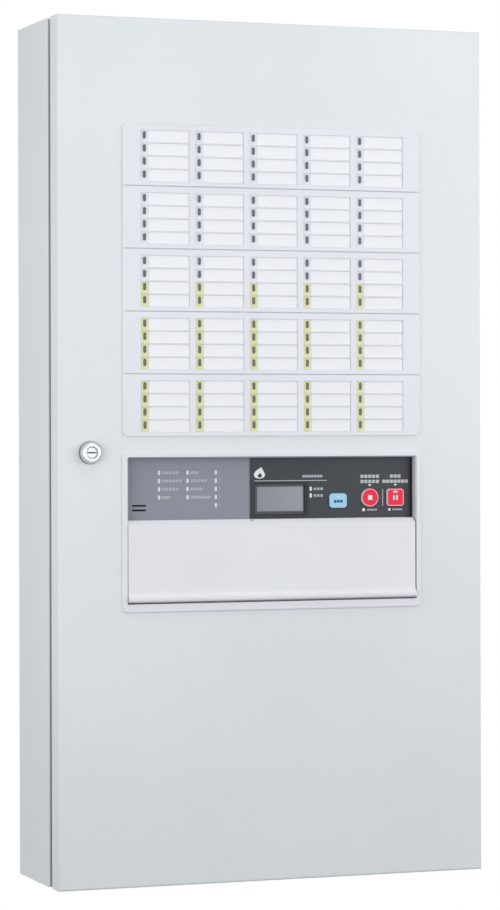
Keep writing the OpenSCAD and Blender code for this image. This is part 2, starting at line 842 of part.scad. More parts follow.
// Frame welded into the back box: front flange and neck
module front_frame() {
    rim_w = cab_w - 2 * sheet_t - 2 * frame_gap;
    rim_h = cab_h - 2 * sheet_t - 2 * frame_gap;
    neck_l = y_flange + sheet_t - y_tip;
    color("gainsboro") difference() {
        union() {
            slab(0, 0, rim_w, rim_h, y_flange + sheet_t, sheet_t);
            slab(0, 0, open_w + 2 * sheet_t, open_h + 2 * sheet_t, y_flange + sheet_t, neck_l);
        }
        slab(0, 0, open_w, open_h, y_flange + sheet_t + cut, neck_l + 2 * cut);
    }
}

// Strike on the neck, that the lock's cam turns behind
module strike_plate() {
    left = -open_w / 2 + frame_gap;
    color("silver") {
        slab(left + strike_w / 2, 0, strike_w, strike_l, y_strike + strike_t, strike_t);
        slab(left + strike_t / 2, 0, strike_t, strike_l, y_strike, strike_foot);
    }
}

// Rubber grommets in the cable entries
module cable_grommets() {
    neck_r = entry_d / 2 - grommet_gap;
    lip_r = entry_d / 2 + grommet_lip;
    low = -sheet_t - grommet_gap - grommet_lip;
    color("dimgray") for (k = [-1, 0, 1]) translate([k * entry_dx, -entry_y, cab_h / 2]) rotate_extrude()
        polygon([
            [grommet_bore / 2, low], [lip_r, low], [lip_r, -sheet_t - grommet_gap],
            [neck_r, -sheet_t - grommet_gap], [neck_r, grommet_gap], [lip_r, grommet_gap],
            [lip_r - grommet_lip / 2, grommet_gap + grommet_lip],
            [grommet_bore / 2, grommet_gap + grommet_lip]
        ]);
}

// Chassis plate with its pressed-in board pillars
module chassis_plate() {
    color("silver") difference() {
        union() {
            slab(0, 0, plate_w, plate_h, -sheet_t - post_h, plate_t);
            for (p = board_pillars()) rod(p[0], p[1], pillar_d, y_plate, board_lift);
        }
        for (x = [-post_x, post_x], z = post_z)
            rod(x, z, chassis_screw_d + 4 * turn_gap, -sheet_t - post_h + cut, plate_t + 2 * cut);
        for (p = board_pillars())
            rod(p[0], p[1], unit_screw_d + 2 * turn_gap, -sheet_t - post_h + cut,
                plate_t + board_lift + 2 * cut);
    }
}

// Places of the pillars under the line board and the relay board
function board_pillars() = [
    for (b = [[line_z, line_h], [relay_z, relay_h]], sx = [-1, 0, 1], sz = [-1, 1])
        [sx * (card_w / 2 - pillar_in), b[0] + sz * (b[1] / 2 - pillar_in)]
];

// Screws of the chassis plate and of its boards, and the earth stud
module chassis_screws() {
    color("lightgray") {
        for (x = [-post_x, post_x], z = post_z)
            screw(x, z, chassis_screw_d, plate_t + post_bore_l - cut, y_plate, 1);
        for (p = board_pillars())
            screw(p[0], p[1], unit_screw_d, board_t + board_lift - cut, y_board - board_t, 1);
        earth_stud();
    }
}

// Terminal strips under the cable entries
module terminal_strips() {
    dx = strip_l / strip_n;
    color("darkslategray") for (z = strip_z) difference() {
        slab(0, z, strip_l, strip_h, y_plate, strip_d);
        for (k = [0 : strip_n - 1]) {
            slab(strip_x(k), z, dx * 0.75, strip_h * 0.45, y_plate - strip_d + 6, 6 + cut);
            slab(strip_x(k), z - strip_h / 2, dx * 0.5, strip_h * 0.3, y_plate - strip_d / 3, strip_d / 3);
        }
    }
}

// Middle of terminal k
function strip_x(k) = (k + 0.5 - strip_n / 2) * strip_l / strip_n;

// Screws of the terminals
module terminal_screws() {
    color("khaki") for (z = strip_z, k = [0 : strip_n - 1]) difference() {
        rod(strip_x(k), z, strip_h * 0.28, y_plate - strip_d + 6, 3);
        slab(strip_x(k), z, strip_h * 0.3, 1, y_plate - strip_d + 4.2, 3);
    }
}

// Slotted wire ducts with their lids
module wire_ducts() {
    slot_n = 14;
    color("lightsteelblue") for (z = duct_z) {
        difference() {
            slab(0, z, card_w, duct_h, y_plate, duct_d);
            slab(0, z, card_w - 2 * duct_wall, duct_h - 2 * duct_wall, y_plate - duct_wall, duct_d);
            for (k = [0 : slot_n - 1])
                slab((k + 0.5 - slot_n / 2) * card_w / slot_n, z, card_w / slot_n / 2, duct_h + 2 * cut,
                    y_plate - duct_d / 3, duct_d * 2 / 3 + cut);
        }
        slab(0, z, card_w, duct_h, y_plate - duct_d, duct_wall);
    }
}

// Board with a row of parts on it
module parts_board(z, h, cols, rows) {
    dx = (card_w - 2 * part_side) / cols;
    dz = (h - 2 * part_end) / rows;
    difference() {
        union() {
            slab(0, z, card_w, h, y_board, board_t);
            for (c = [0 : cols - 1], r = [0 : rows - 1])
                slab((c + 0.5 - cols / 2) * dx, z + (r + 0.5 - rows / 2) * dz, dx * 0.62, dz * 0.6,
                    y_board - board_t, part_low + part_step * ((c + r) % 3));
        }
        for (p = board_pillars())
            rod(p[0], p[1], unit_screw_d + 4 * turn_gap, y_board + cut, board_t + 2 * cut);
    }
}

// Board that the detector lines end on
module line_board() {
    color("darkgreen") parts_board(line_z, line_h, 10, 3);
}

// Board with the bell relays
module relay_board() {
    color("seagreen") parts_board(relay_z, relay_h, 8, 2);
}

// Case of the power supply, with slots in its face
module power_supply() {
    slots = 9;
    color("silver") difference() {
        slab(supply_x, supply_z, supply_w, supply_h, y_plate, supply_d);
        slab(supply_x, supply_z, supply_w - 2 * bracket_t, supply_h - 2 * bracket_t,
            y_plate - bracket_t, supply_d - 2 * bracket_t);
        for (k = [0 : slots - 1])
            slab(supply_x, supply_z + (k + 0.5 - slots / 2) * (supply_h - 2 * grille_in) / slots,
                supply_w * 0.6, grille_h, y_plate - supply_d + bracket_t + cut, bracket_t + 2 * cut);
    }
}

// Laminated core of the transformer, standing on its feet
module transformer_core() {
    color("slategray") difference() {
        union() {
            slab(core_x, supply_z, core_w, core_h, y_plate - bracket_t, core_d);
            slab(core_x, supply_z, core_w + 2 * core_foot, core_h * 0.6, y_plate, bracket_t);
        }
        for (s = [-1, 1]) slab(core_x + s * core_w / 4, supply_z, core_w / 4, core_h + 2 * cut,
            y_plate - bracket_t - core_d / 5, core_d * 3 / 5);
        for (s = [-1, 1], t = [-1, 1])
            rod(core_x + s * (core_w + core_foot) / 2, supply_z + t * core_h * 0.2, chassis_screw_d,
                y_plate + cut, bracket_t + 2 * cut);
    }
}

// Winding in the core's windows
module transformer_coil() {
    fit = 0.4;
    color("peru") for (s = [-1, 1])
        slab(core_x + s * core_w / 4, supply_z, core_w / 4 - 2 * fit, core_h + 2 * coil_over,
            y_plate - bracket_t - core_d / 5 - fit, core_d * 3 / 5 - 2 * fit);
}

// Body of the mains switch, slotted for its lever
module mains_switch() {
    color("whitesmoke") difference() {
        slab(switch_x, supply_z, switch_w, switch_h, y_plate, switch_d);
        slab(switch_x, supply_z, lever_w + 4 * key_gap, 4 * lever_hub_r, y_lever + lever_hub_r + cut,
            switch_d);
        translate([switch_x, y_lever, supply_z]) rotate([0, 90, 0])
            cylinder(d = trunnion_d + 2 * turn_gap, h = lever_w + 2 * trunnion_d + 2 * turn_gap,
                center = true);
    }
}

// Lever of the mains switch, turning on its trunnions
module mains_lever() {
    color("black") {
        translate([switch_x, y_lever, supply_z]) rotate([0, 90, 0]) {
            cylinder(r = lever_hub_r, h = lever_w, center = true);
            cylinder(d = trunnion_d, h = lever_w + 2 * trunnion_d, center = true);
        }
        translate([switch_x, y_lever, supply_z]) rotate([-20, 0, 0])
            translate([-lever_w / 2, -lever_hub_r - lever_l, -lever_t / 2])
                cube([lever_w, lever_l + lever_hub_r / 2, lever_t]);
    }
}

// Tray and front bar that hold the battery pack
module battery_tray() {
    w = battery_w + 2 * battery_lip;
    foot = battery_z - battery_h / 2 - battery_fit;
    color("silver") {
        slab(0, foot - bracket_t / 2, w, bracket_t, y_plate, battery_d);
        for (s = [-1, 1])
            slab(s * (w - bracket_t) / 2, foot - bracket_t + battery_h / 4, bracket_t, battery_h / 2,
                y_plate, battery_d);
        slab(0, foot - bracket_t + battery_h / 2 - battery_lip / 2, w, battery_lip, y_plate - battery_d,
            bracket_t);
    }
}

// Standby battery pack
module battery_pack() {
    color("darkslategray") {
        for (s = [-1, 1]) slab(s * battery_w / 4, battery_z, battery_w / 2 - 2 * battery_fit, battery_h,
            y_plate - battery_fit, battery_d - 2 * battery_fit);
        for (s = [-1, 1], t = [-1, 1])
            slab(s * battery_w / 4 + t * tab_dx, battery_z + (battery_h + tab_h) / 2, tab_w, tab_h,
                y_plate - battery_d / 2, tab_t);
    }
}

// Earth stud on the chassis plate, with its nut
module earth_stud() {
    rod(earth_x, earth_z, earth_d, y_plate, earth_l);
    forward(earth_x, earth_z, y_plate, earth_d * 0.8) circle(d = earth_d * 1.9, $fn = 6);
}

// Knuckle of the door hinges
module knuckle(z, l) {
    translate([hinge_x, hinge_y, z - l / 2]) cylinder(d = barrel_d, h = l);
}

// Bore through all knuckles of hinge k
module knuckle_bore(k) {
    translate([hinge_x, hinge_y, hinge_z(k) - 2 * knuckle_l])
        cylinder(d = hinge_pin_d + 2 * pin_gap, h = 4 * knuckle_l);
}

// Hinge halves on the back box
module box_hinges() {
    leaf_x = open_w / 2 + sheet_t;
    color("silver") for (k = [1, 2, 3], s = [-1, 1]) difference() {
        union() {
            knuckle(hinge_z(k) + s * (knuckle_l + knuckle_gap), knuckle_l);
            slab((leaf_x + hinge_x) / 2, hinge_z(k) + s * (knuckle_l + knuckle_gap), hinge_x - leaf_x,
                knuckle_l, y_flange, leaf_t);
        }
        knuckle_bore(k);
    }
}

// Pins of the door hinges
module hinge_pins() {
    span = 3 * knuckle_l + 2 * knuckle_gap;
    color("gray") for (k = [1, 2, 3]) translate([hinge_x, hinge_y, hinge_z(k) - span / 2]) {
        cylinder(d = hinge_pin_d, h = span);
        translate([0, 0, span]) cylinder(d = barrel_d - 1, h = pin_head_h);
    }
}

// Hinge halves on the door
module door_hinges() {
    skirt_x = cab_w / 2 - sheet_t;
    color("silver") for (k = [1, 2, 3]) difference() {
        union() {
            knuckle(hinge_z(k), knuckle_l);
            slab(skirt_x - leaf_t / 2, hinge_z(k), leaf_t, knuckle_l, hinge_y, leaf_l);
        }
        knuckle_bore(k);
    }
}

// Unit vector
function unit(v) = v / norm(v);
// Direction of the loom at point i
function loom_dir(i) = unit(loom_route[min(i + 1, len(loom_route) - 1)] - loom_route[max(i - 1, 0)]);
// Ring of points round point i of the loom
function loom_ring(i) = let (t = loom_dir(i), a = unit(cross(t, [0.3, 1, 0.2])), b = cross(t, a))
    [for (k = [0 : loom_sides - 1]) loom_route[i]
        + loom_d / 2 * (cos(360 * k / loom_sides) * a + sin(360 * k / loom_sides) * b)];

// Wiring loom between the box and the door
module door_loom() {
    n = len(loom_route);
    m = loom_sides;
    color("black") polyhedron(
        [for (i = [0 : n - 1]) each loom_ring(i)],
        concat(
            [[for (k = [0 : m - 1]) k]],
            [for (i = [0 : n - 2], k = [0 : m - 1])
                [i * m + k, (i + 1) * m + k, (i + 1) * m + (k + 1) % m, i * m + (k + 1) % m]],
            [[for (k = [m - 1 : -1 : 0]) (n - 1) * m + k]]
        )
    );
}

// Door: a folded pan with cut-outs for the units and a hole for the lock
module door_panel() {
    color("gainsboro") difference() {
        pan(cab_w, cab_h, door_d, y_skirt);
        slab(0, 0, cab_w - 2 * sheet_t, cab_h - 2 * sheet_t, y_skirt + cut, door_d - sheet_t + cut);
        for (i = [1 : zone_n]) slab(unit_off, zone_z(i), core_zw + 2 * unit_gap, core_zh + 2 * unit_gap,
            y_inner + cut, sheet_t + 2 * cut);
        slab(unit_off, rec_z, tub_w + 2 * unit_gap, tub_h + 2 * unit_gap, y_inner + cut, sheet_t + 2 * cut);
        rod(lock_x, 0, lock_barrel_d + 2 * lock_gap, y_inner + cut, sheet_t + 2 * cut);
    }
}

// Channels that stiffen the door, above and below the units
module door_stiffeners() {
    high = bar_top + stiff_gap + stiff_h / 2;
    low = bar_foot - stiff_gap - stiff_h / 2;
    color("gainsboro") for (z = [high, low]) difference() {
        slab(0, z, stiff_l, stiff_h, y_inner + stiff_d, stiff_d);
        slab(0, z, stiff_l + 2 * cut, stiff_h - 2 * stiff_wall, y_inner + stiff_d - stiff_wall, stiff_d);
    }
}

// Foam seal that the box's neck presses on
module door_gasket() {
    mid_w = open_w + sheet_t;
    mid_h = open_h + sheet_t;
    color("dimgray") difference() {
        slab(0, 0, mid_w + seal_w, mid_h + seal_w, y_inner + seal_t, seal_t);
        slab(0, 0, mid_w - seal_w, mid_h - seal_w, y_inner + seal_t + cut, seal_t + 2 * cut);
    }
}

// Zone window unit i: rim, hollow core, pillars and screw bosses
module zone_unit(i) {
    top_r = i == 1 ? zone_r : seam_r;
    foot_r = i == zone_n ? zone_r : seam_r;
    z = zone_z(i);
    color("white") difference() {
        union() {
            forward(unit_off, z, y_front, zone_proud) round_rect(zone_w, zone_h, top_r, foot_r);
            difference() {
                slab(unit_off, z, core_zw, core_zh, y_unit, unit_depth);
                slab(unit_off, z, core_zw - 2 * unit_wall, core_zh - 2 * unit_wall, y_unit + cut,
                    unit_depth - zone_floor + cut);
            }
            for (s = [-1, 1]) rod(unit_off + s * bar_dx, z, boss_d, y_unit, unit_depth - zone_floor);
            for (p = zone_pillars(z)) rod(p[0], p[1], pillar_d, y_zone_board - board_t, board_up);
        }
        for (c = [1 : win_n], r = [1 : row_n])
            slab(win_x(c) + win_w / 2, row_z(i, r), win_w, pocket_h, y_pocket, win_d + cut);
        for (s = [-1, 1]) rod(unit_off + s * bar_dx, z, unit_screw_d + 2 * turn_gap, y_unit + cut,
            unit_screw_l + 2 * cut);
    }
}

// Places of the pillars under a zone board
function zone_pillars(z) = [
    for (sx = [-1, 1], sz = [-1, 1]) [unit_off + sx * (core_zw / 2 - 12), z + sz * (core_zh / 2 - 10)]
];

// Label cards in the windows
module zone_cards() {
    w = win_w - mark_w - 3 * card_gap;
    color("white") for (i = [1 : zone_n], c = [1 : win_n], r = [1 : row_n])
        slab(win_x(c) + win_w - card_gap - w / 2, row_z(i, r), w, pocket_h - 2 * card_gap, y_pocket, card_t);
}

// Lamp lenses in the windows
module zone_lenses() {
    color("dimgray") for (i = [1 : zone_n], c = [1 : win_n], r = [1 : row_n])
        forward(lens_x(c), row_z(i, r) + lens_up, y_pocket, lens_t) oval(lens_w, lens_h);
}

// Yellow markers round the lenses of the lower rows
module zone_markers() {
    color("khaki") for (i = [1 : zone_n], c = [1 : win_n], r = [1 : row_n]) if (is_yellow(i, r))
        forward(lens_x(c), row_z(i, r), y_pocket, card_t) difference() {
            square([mark_w, pocket_h - 2 * card_gap], center = true);
            translate([0, lens_up]) oval(lens_w + card_gap, lens_h + card_gap);
        }
}

// Lamp boards inside the zone units
module zone_boards() {
    color("darkgreen") for (i = [1 : zone_n]) difference() {
        slab(unit_off, zone_z(i), core_zw - 2 * (unit_wall + unit_gap), core_zh - 2 * (unit_wall + unit_gap),
            y_zone_board, board_t);
        for (s = [-1, 1]) rod(unit_off + s * bar_dx, zone_z(i), boss_d + 2 * unit_gap, y_zone_board + cut,
            board_t + 2 * cut);
    }
}

// Bars that clamp the units to the door from behind
module clamp_bars() {
    color("silver") for (s = [-1, 1]) difference() {
        union() {
            slab(unit_off + s * bar_dx, (bar_top + bar_foot) / 2, bar_w, bar_top - bar_foot, y_unit + bar_t,
                bar_t);
            for (z = [bar_top - bar_t / 2, bar_foot + bar_t / 2])
                slab(unit_off + s * bar_dx, z, bar_w, bar_t, y_unit, y_unit - y_inner);
        }
        for (z = unit_screw_z())
            rod(unit_off + s * bar_dx, z, unit_screw_d + 4 * turn_gap, y_unit + bar_t + cut, bar_t + 2 * cut);
    }
}

// Heights of the screws in a clamp bar
function unit_screw_z() = concat([for (i = [1 : zone_n]) zone_z(i)], op_boss_z);

// Screws that hold the units to the clamp bars
module unit_screws() {
    color("lightgray") for (s = [-1, 1], z = unit_screw_z())
        screw(unit_off + s * bar_dx, z, unit_screw_d, bar_t + unit_screw_l, y_unit + bar_t, -1);
}

// Bezel of the operation unit: rim, tub, ledge and screw blocks
module operation_bezel() {
    color("white") difference() {
        union() {
            soft_slab(unit_off, op_z, op_w, op_h, y_front, op_proud, op_r);
            slab(unit_off, rec_z, tub_w, tub_h, y_unit, unit_depth);
        }
        forward(unit_off, rec_z, y_tray, y_tray - y_op + cut) round_rect(rec_w, rec_h, rec_r, low_r);
        slab(unit_off, rec_z, rec_w - 2 * ledge_w, rec_h - 2 * ledge_w, y_tray + ledge_t + cut,
            ledge_t + 2 * cut);
        difference() {
            slab(unit_off, rec_z, rec_w, rec_h, y_unit + cut, y_unit - y_tray - ledge_t + cut);
            for (s = [-1, 1], z = op_boss_z)
                slab(unit_off + s * bar_dx, z, boss_d, boss_d, y_unit + 2 * cut, unit_depth);
        }
        for (s = [-1, 1], z = op_boss_z)
            rod(unit_off + s * bar_dx, z, unit_screw_d + 2 * turn_gap, y_unit + cut, unit_screw_l + cut);
        translate([unit_off, flap_pin_y, flap_pin_z]) rotate([0, 90, 0])
            cylinder(d = flap_pin_d + 2 * turn_gap, h = rec_w + 2 * unit_wall, center = true);
    }
}

// Grey indicator tray with its side walls and the pillars of the control board
module indicator_tray() {
    wall_d = y_floor - y_op - flap_back;
    pillar_z = rec_z + control_h / 2 - pillar_d;
    color("slategray") difference() {
        intersection() {
            union() {
                slab(unit_off, tray_z, tray_w, tray_h, y_tray, tray_t);
                for (s = [-1, 1])
                    slab(unit_off + s * (tray_w - tray_wall) / 2, tray_z, tray_wall, tray_h, y_floor, wall_d);
                slab(unit_off, tray_z + (tray_h - tray_wall) / 2, tray_w, tray_wall, y_floor, wall_d);
                for (s = [-1, 1]) rod(control_pillar_x(s), pillar_z, pillar_d, y_control, control_gap);
            }
            forward(unit_off, tray_z, y_control, y_control - y_op)
                round_rect(tray_w, tray_h, rec_r - tray_gap, low_r);
        }
        for (k = [0, 1]) slab(slot_x, slot_z - k * slot_dz, slot_w, slot_h, y_tray + cut, tray_t + 2 * cut);
        soft_slab(lcd_x, lcd_z, lcd_w, lcd_h, y_tray + cut, tray_t + 2 * cut, low_r);
        key_hole(guide_x, guide_z, guide_w, guide_h);
        rod(stop_x, key_z, stop_d + 2 * key_gap, y_tray + cut, tray_t + 2 * cut);
        key_hole(bell_x, key_z, bell_w, bell_h);
    }
}

// Middle of the control board's pillars
function control_pillar_x(s) = unit_off + s * (control_w / 2 - 18) + 14;

// Hole for a key through the tray or the deck
module key_hole(x, z, w, h) {
    soft_slab(x, z, w + 2 * key_gap, h + 2 * key_gap, y_tray + cut, tray_t + panel_t + 2 * cut,
        key_r + key_gap);
}

// Dark display panel on the tray
module display_panel() {
    color("darkslategray") difference() {
        slab(panel_x, panel_z, panel_w, panel_h, y_floor, panel_t);
        hull() {
            soft_slab(lcd_x, lcd_z, lcd_w, lcd_h, y_floor + cut, cut, low_r);
            soft_slab(lcd_x, lcd_z, lcd_w + 2 * lcd_bevel, lcd_h + 2 * lcd_bevel, y_panel, cut, lcd_bevel);
        }
        key_hole(guide_x, guide_z, guide_w, guide_h);
        rod(stop_x, key_z, stop_d + 2 * key_gap, y_floor + cut, panel_t + 2 * cut);
        key_hole(bell_x, key_z, bell_w, bell_h);
    }
}

// Clear lens behind the tray's window
module display_lens() {
    color("lightgray") soft_slab(lcd_x, lcd_z, lcd_w + 2 * lcd_rim, lcd_h + 2 * lcd_rim,
        y_tray + lcd_lens_t, lcd_lens_t, low_r);
}

// Display module behind the lens
module display_module() {
    color("gray") slab(lcd_x, lcd_z, lcd_w + 2 * lcd_rim, lcd_h + 2 * lcd_rim,
        y_tray + lcd_lens_t + lcd_t, lcd_t);
}

// Status lenses on the tray and the two lamps beside the display
module status_lenses() {
    color("white") {
        for (c = [0 : len(dot_rows) - 1], r = [0 : dot_rows[c] - 1])
            forward(dot_x + c * dot_dx, dot_z - r * dot_dz, y_floor, dot_t) oval(dot_w, dot_h);
        for (k = [0, 1]) forward(lamp_x, lamp_z - k * lamp_dz, y_panel, dot_t) oval(dot_w, dot_h);
    }
}

// Speaker behind the slots
module speaker() {
    color("dimgray") rod(speaker_x, speaker_z, speaker_d, y_tray + speaker_t, speaker_t);
}

// Control board with its push switches and the loom's socket
module control_board() {
    tact_y = y_tray + key_seat + key_flange_t + key_travel + key_seat;
    color("darkgreen") {
        slab(unit_off, rec_z, control_w, control_h, y_control + board_t, board_t);
        for (p = [[guide_x, guide_z], [stop_x, key_z], [bell_x, key_z],
                [reset_x, deck_key_z], [test_x, deck_key_z]])
            slab(p[0], p[1], tact_w, tact_w, y_control, y_control - tact_y);
        slab(socket_x, socket_z, socket_w, socket_w, y_socket, socket_t);
    }
}

// Deck under the flap, with holes for its switches
module switch_deck() {
    pillar_z = rec_z - control_h / 2 + pillar_d;
    color("white") difference() {
        union() {
            slab(unit_off, deck_z, tray_w, deck_h, y_tray, tray_t);
            for (s = [-1, 1]) rod(control_pillar_x(s), pillar_z, pillar_d, y_control, control_gap);
        }
        key_hole(reset_x, deck_key_z, soft_key_w, soft_key_h);
        key_hole(test_x, deck_key_z, soft_key_w, soft_key_h);
        slab(slide_x, deck_key_z, slide_w + slide_travel + 2 * key_gap, slide_h + 2 * key_gap, y_tray + cut,
            tray_t + 2 * cut);
        rod(dial_x, deck_key_z, dial_shaft_d + 2 * turn_gap, y_tray + cut, tray_t + 2 * cut);
        rod(jack_x, deck_key_z, jack_d * 0.7, y_tray + cut, tray_t + 2 * cut);
    }
}

// Telephone jack, held in the deck by its nut
module phone_jack() {
    barrel = jack_d * 0.7 - 2 * turn_gap;
    color("lightgray") difference() {
        union() {
            forward(jack_x, deck_key_z, y_floor, jack_t) circle(d = jack_d, $fn = 6);
            rod(jack_x, deck_key_z, barrel, y_control - key_gap, y_control - key_gap - y_floor);
        }
        rod(jack_x, deck_key_z, jack_bore, y_control - key_gap - cut, y_control - y_floor + jack_t + cut);
    }
}

// Push key with a flange behind its panel
module push_key(x, z, w, h, y_face) {
    back = y_tray + key_seat;
    soft_slab(x, z, w, h, back, back - y_face + key_proud, key_r);
    soft_slab(x, z, w + 2 * key_lip, h + 2 * key_lip, back + key_flange_t, key_flange_t, key_r);
}

// Rectangular guide key
module guide_key() {
    color("lightskyblue") push_key(guide_x, guide_z, guide_w, guide_h, y_panel);
}

// Round stop key
module stop_key() {
    back = y_tray + key_seat;
    color("crimson") {
        rod(stop_x, key_z, stop_d, back, back - y_panel + key_proud);
        rod(stop_x, key_z, stop_d + 2 * key_lip, back + key_flange_t, key_flange_t);
    }
}

// Square bell key
module bell_key() {
    color("crimson") push_key(bell_x, key_z, bell_w, bell_h, y_panel);
}

// Reset key under the flap
module reset_key() {
    color("gainsboro") push_key(reset_x, deck_key_z, soft_key_w, soft_key_h, y_floor);
}

// Test key under the flap
module test_key() {
    color("gainsboro") push_key(test_x, deck_key_z, soft_key_w, soft_key_h, y_floor);
}

// Slide switch that cuts the chime, at its left stop
module chime_slide() {
    left = slide_x - slide_travel / 2;
    back = y_tray + key_seat;
    color("dimgray") {
        slab(left, deck_key_z, slide_w, slide_h, back, back - y_floor + key_proud);
        slab(left, deck_key_z, slide_w + 2 * key_lip, slide_h + 2 * key_lip, back + key_flange_t,
            key_flange_t);
    }
}

// Zone dial with its pointer
module zone_dial() {
    back = y_control - key_gap;
    color("dimgray") difference() {
        union() {
            rod(dial_x, deck_key_z, dial_d, y_floor - dial_seat, dial_t);
            rod(dial_x, deck_key_z, dial_shaft_d, back, back - y_floor + dial_seat);
        }
        slab(dial_x, deck_key_z + dial_d / 3, 1.6, dial_d / 3, y_floor - dial_seat - dial_t + 1, 1 + cut);
    }
}

// Outline of the flap in the YZ plane, from the flange at the top to the lip
function flap_outline() = [
    [y_flap_top, flap_top - flap_fall],
    [y_flap + flap_turn, flap_top],
    [y_flap, flap_top - flap_slope],
    [y_flap, lip_foot + lip_h],
    [y_flap - lip_out, lip_foot + lip_h - 0.85 * lip_out],
    [y_flap - lip_out, lip_foot + lip_bevel],
    [y_flap - 0.8 * lip_out, lip_foot + 0.4 * lip_bevel],
    [y_flap - 0.4 * lip_out, lip_foot],
    [y_flap + flap_t, lip_foot],
    [y_flap + flap_t, flap_top - flap_slope - flap_t / 3],
    [y_flap + flap_turn, flap_top - flap_top_t - flap_t / 2],
    [y_flap_top, flap_top - flap_fall - flap_top_t]
];

// Flap over the switch deck, with its hollow lip, hinge bosses and ribs
module flap() {
    left = unit_off - flap_w / 2;
    color("white") difference() {
        union() {
            difference() {
                along_x(left, flap_w) offset(flap_edge, $fn = 16) offset(delta = -flap_edge)
                    polygon(flap_outline());
                translate([left + flap_pin_l, y_flap - lip_out + lip_wall, lip_foot + lip_wall])
                    cube([flap_w - 2 * flap_pin_l, lip_out + flap_t, lip_h / 2 - 1]);
            }
            for (x = [left, left + flap_w - flap_pin_l - cut])
                translate([x, flap_pin_y, flap_pin_z]) rotate([0, 90, 0])
                    cylinder(d = flap_pin_d + 2 * flap_boss, h = flap_pin_l + cut);
            for (z = [flap_top - flap_slope - 14, lip_foot + 12])
                slab(unit_off, z, flap_w, 2, y_flap + flap_t + flap_rib, flap_rib);
        }
        translate([unit_off, flap_pin_y, flap_pin_z]) rotate([0, 90, 0]) {
            for (s = [-1, 1]) translate([0, 0, s * flap_w / 2])
                cylinder(d = flap_pin_d + 2 * turn_gap, h = 2 * flap_pin_l, center = true);
        }
        translate([panel_left, y_flap_top, flap_top]) rotate([0, 45, 0])
            cube([notch_w, 2 * recess_d, notch_w], center = true);
    }
}

// Pins of the flap, reaching into the bezel's walls
module flap_pins() {
    reach = unit_wall - 2 * turn_gap;
    color("lightgray") for (s = [-1, 1])
        translate([unit_off + s * (rec_w / 2 + reach - (flap_pin_l + reach) / 2), flap_pin_y, flap_pin_z])
            rotate([0, 90, 0]) cylinder(d = flap_pin_d, h = flap_pin_l + reach, center = true);
}

// Lock: flange, tapered collar and barrel through the door
module lock_body() {
    rear = y_cam - y_front - turn_gap * 4;
    bore = plug_d / 2 + turn_gap;
    color("lightgray") translate([lock_x, y_front, 0]) rotate([90, 0, 0]) rotate_extrude() polygon([
        [bore, -rear], [lock_barrel_d / 2, -rear], [lock_barrel_d / 2, 0], [lock_flange_d / 2, 0],
        [lock_flange_d / 2, lock_flange_t], [lock_face_d / 2 + 0.4, lock_proud - 0.8],
        [lock_face_d / 2 - 0.4, lock_proud], [bore + plug_rim, lock_proud], [bore, lock_proud - plug_rim]
    ]);
}

// Nut that holds the lock behind the door
module lock_nut() {
    color("silver") difference() {
        forward(lock_x, 0, y_inner + nut_t, nut_t) circle(d = nut_w / cos(30), $fn = 6);
        rod(lock_x, 0, lock_barrel_d + 2 * nut_gap, y_inner + nut_t + cut, nut_t + 2 * cut);
    }
}

// Key plug with its slot
module lock_plug() {
    face = y_front - lock_proud + plug_sink;
    color("silver") difference() {
        rod(lock_x, 0, plug_d, y_cam, y_cam - face);
        slab(lock_x, 0, key_slot_w, key_slot_h, face + key_slot_d, key_slot_d + cut);
        rod(lock_x, 0, cam_screw_d + 2 * turn_gap, y_cam + cut, cam_screw_l + 2 * cut);
    }
}

// Cam, drawn upright in its released place
module lock_cam() {
    color("silver") difference() {
        union() {
            slab(lock_x, (cam_l - cam_w / 4) / 2, cam_w, cam_l - cam_w / 4, y_cam + cam_t, cam_t);
            rod(lock_x, 0, cam_w, y_cam + cam_t, cam_t);
            slab(lock_x, cam_l - cam_w / 8, cam_w / 2, cam_w / 4, y_cam + cam_t, cam_t);
        }
        rod(lock_x, 0, cam_screw_d + 2 * turn_gap, y_cam + cam_t + cut, cam_t + 2 * cut);
    }
}

// Screw that holds the cam on the plug
module cam_screw() {
    color("lightgray") screw(lock_x, 0, cam_screw_d, cam_t + cam_screw_l, y_cam + cam_t, -1);
}

back_box();
front_frame();
strike_plate();
cable_grommets();
chassis_plate();
chassis_screws();
terminal_strips();
terminal_screws();
wire_ducts();
line_board();
relay_board();
power_supply();
transformer_core();
transformer_coil();
mains_switch();
mains_lever();
battery_tray();
battery_pack();
box_hinges();
hinge_pins();
door_loom();
door_panel();
door_stiffeners();
door_gasket();
door_hinges();
zone_unit(1);  // zone_unit_1
zone_unit(2);  // zone_unit_2
zone_unit(3);  // zone_unit_3
zone_unit(4);  // zone_unit_4
zone_unit(5);  // zone_unit_5
zone_cards();
zone_lenses();
zone_markers();
zone_boards();
clamp_bars();
unit_screws();
operation_bezel();
indicator_tray();
display_panel();
display_lens();
display_module();
status_lenses();
speaker();
control_board();
switch_deck();
phone_jack();
guide_key();
stop_key();
bell_key();
reset_key();
test_key();
chime_slide();
zone_dial();
flap();
flap_pins();
lock_body();
lock_nut();
lock_plug();
lock_cam();
cam_screw();
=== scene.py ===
import bpy
import bmesh
import json
import math
from mathutils import Matrix, Vector


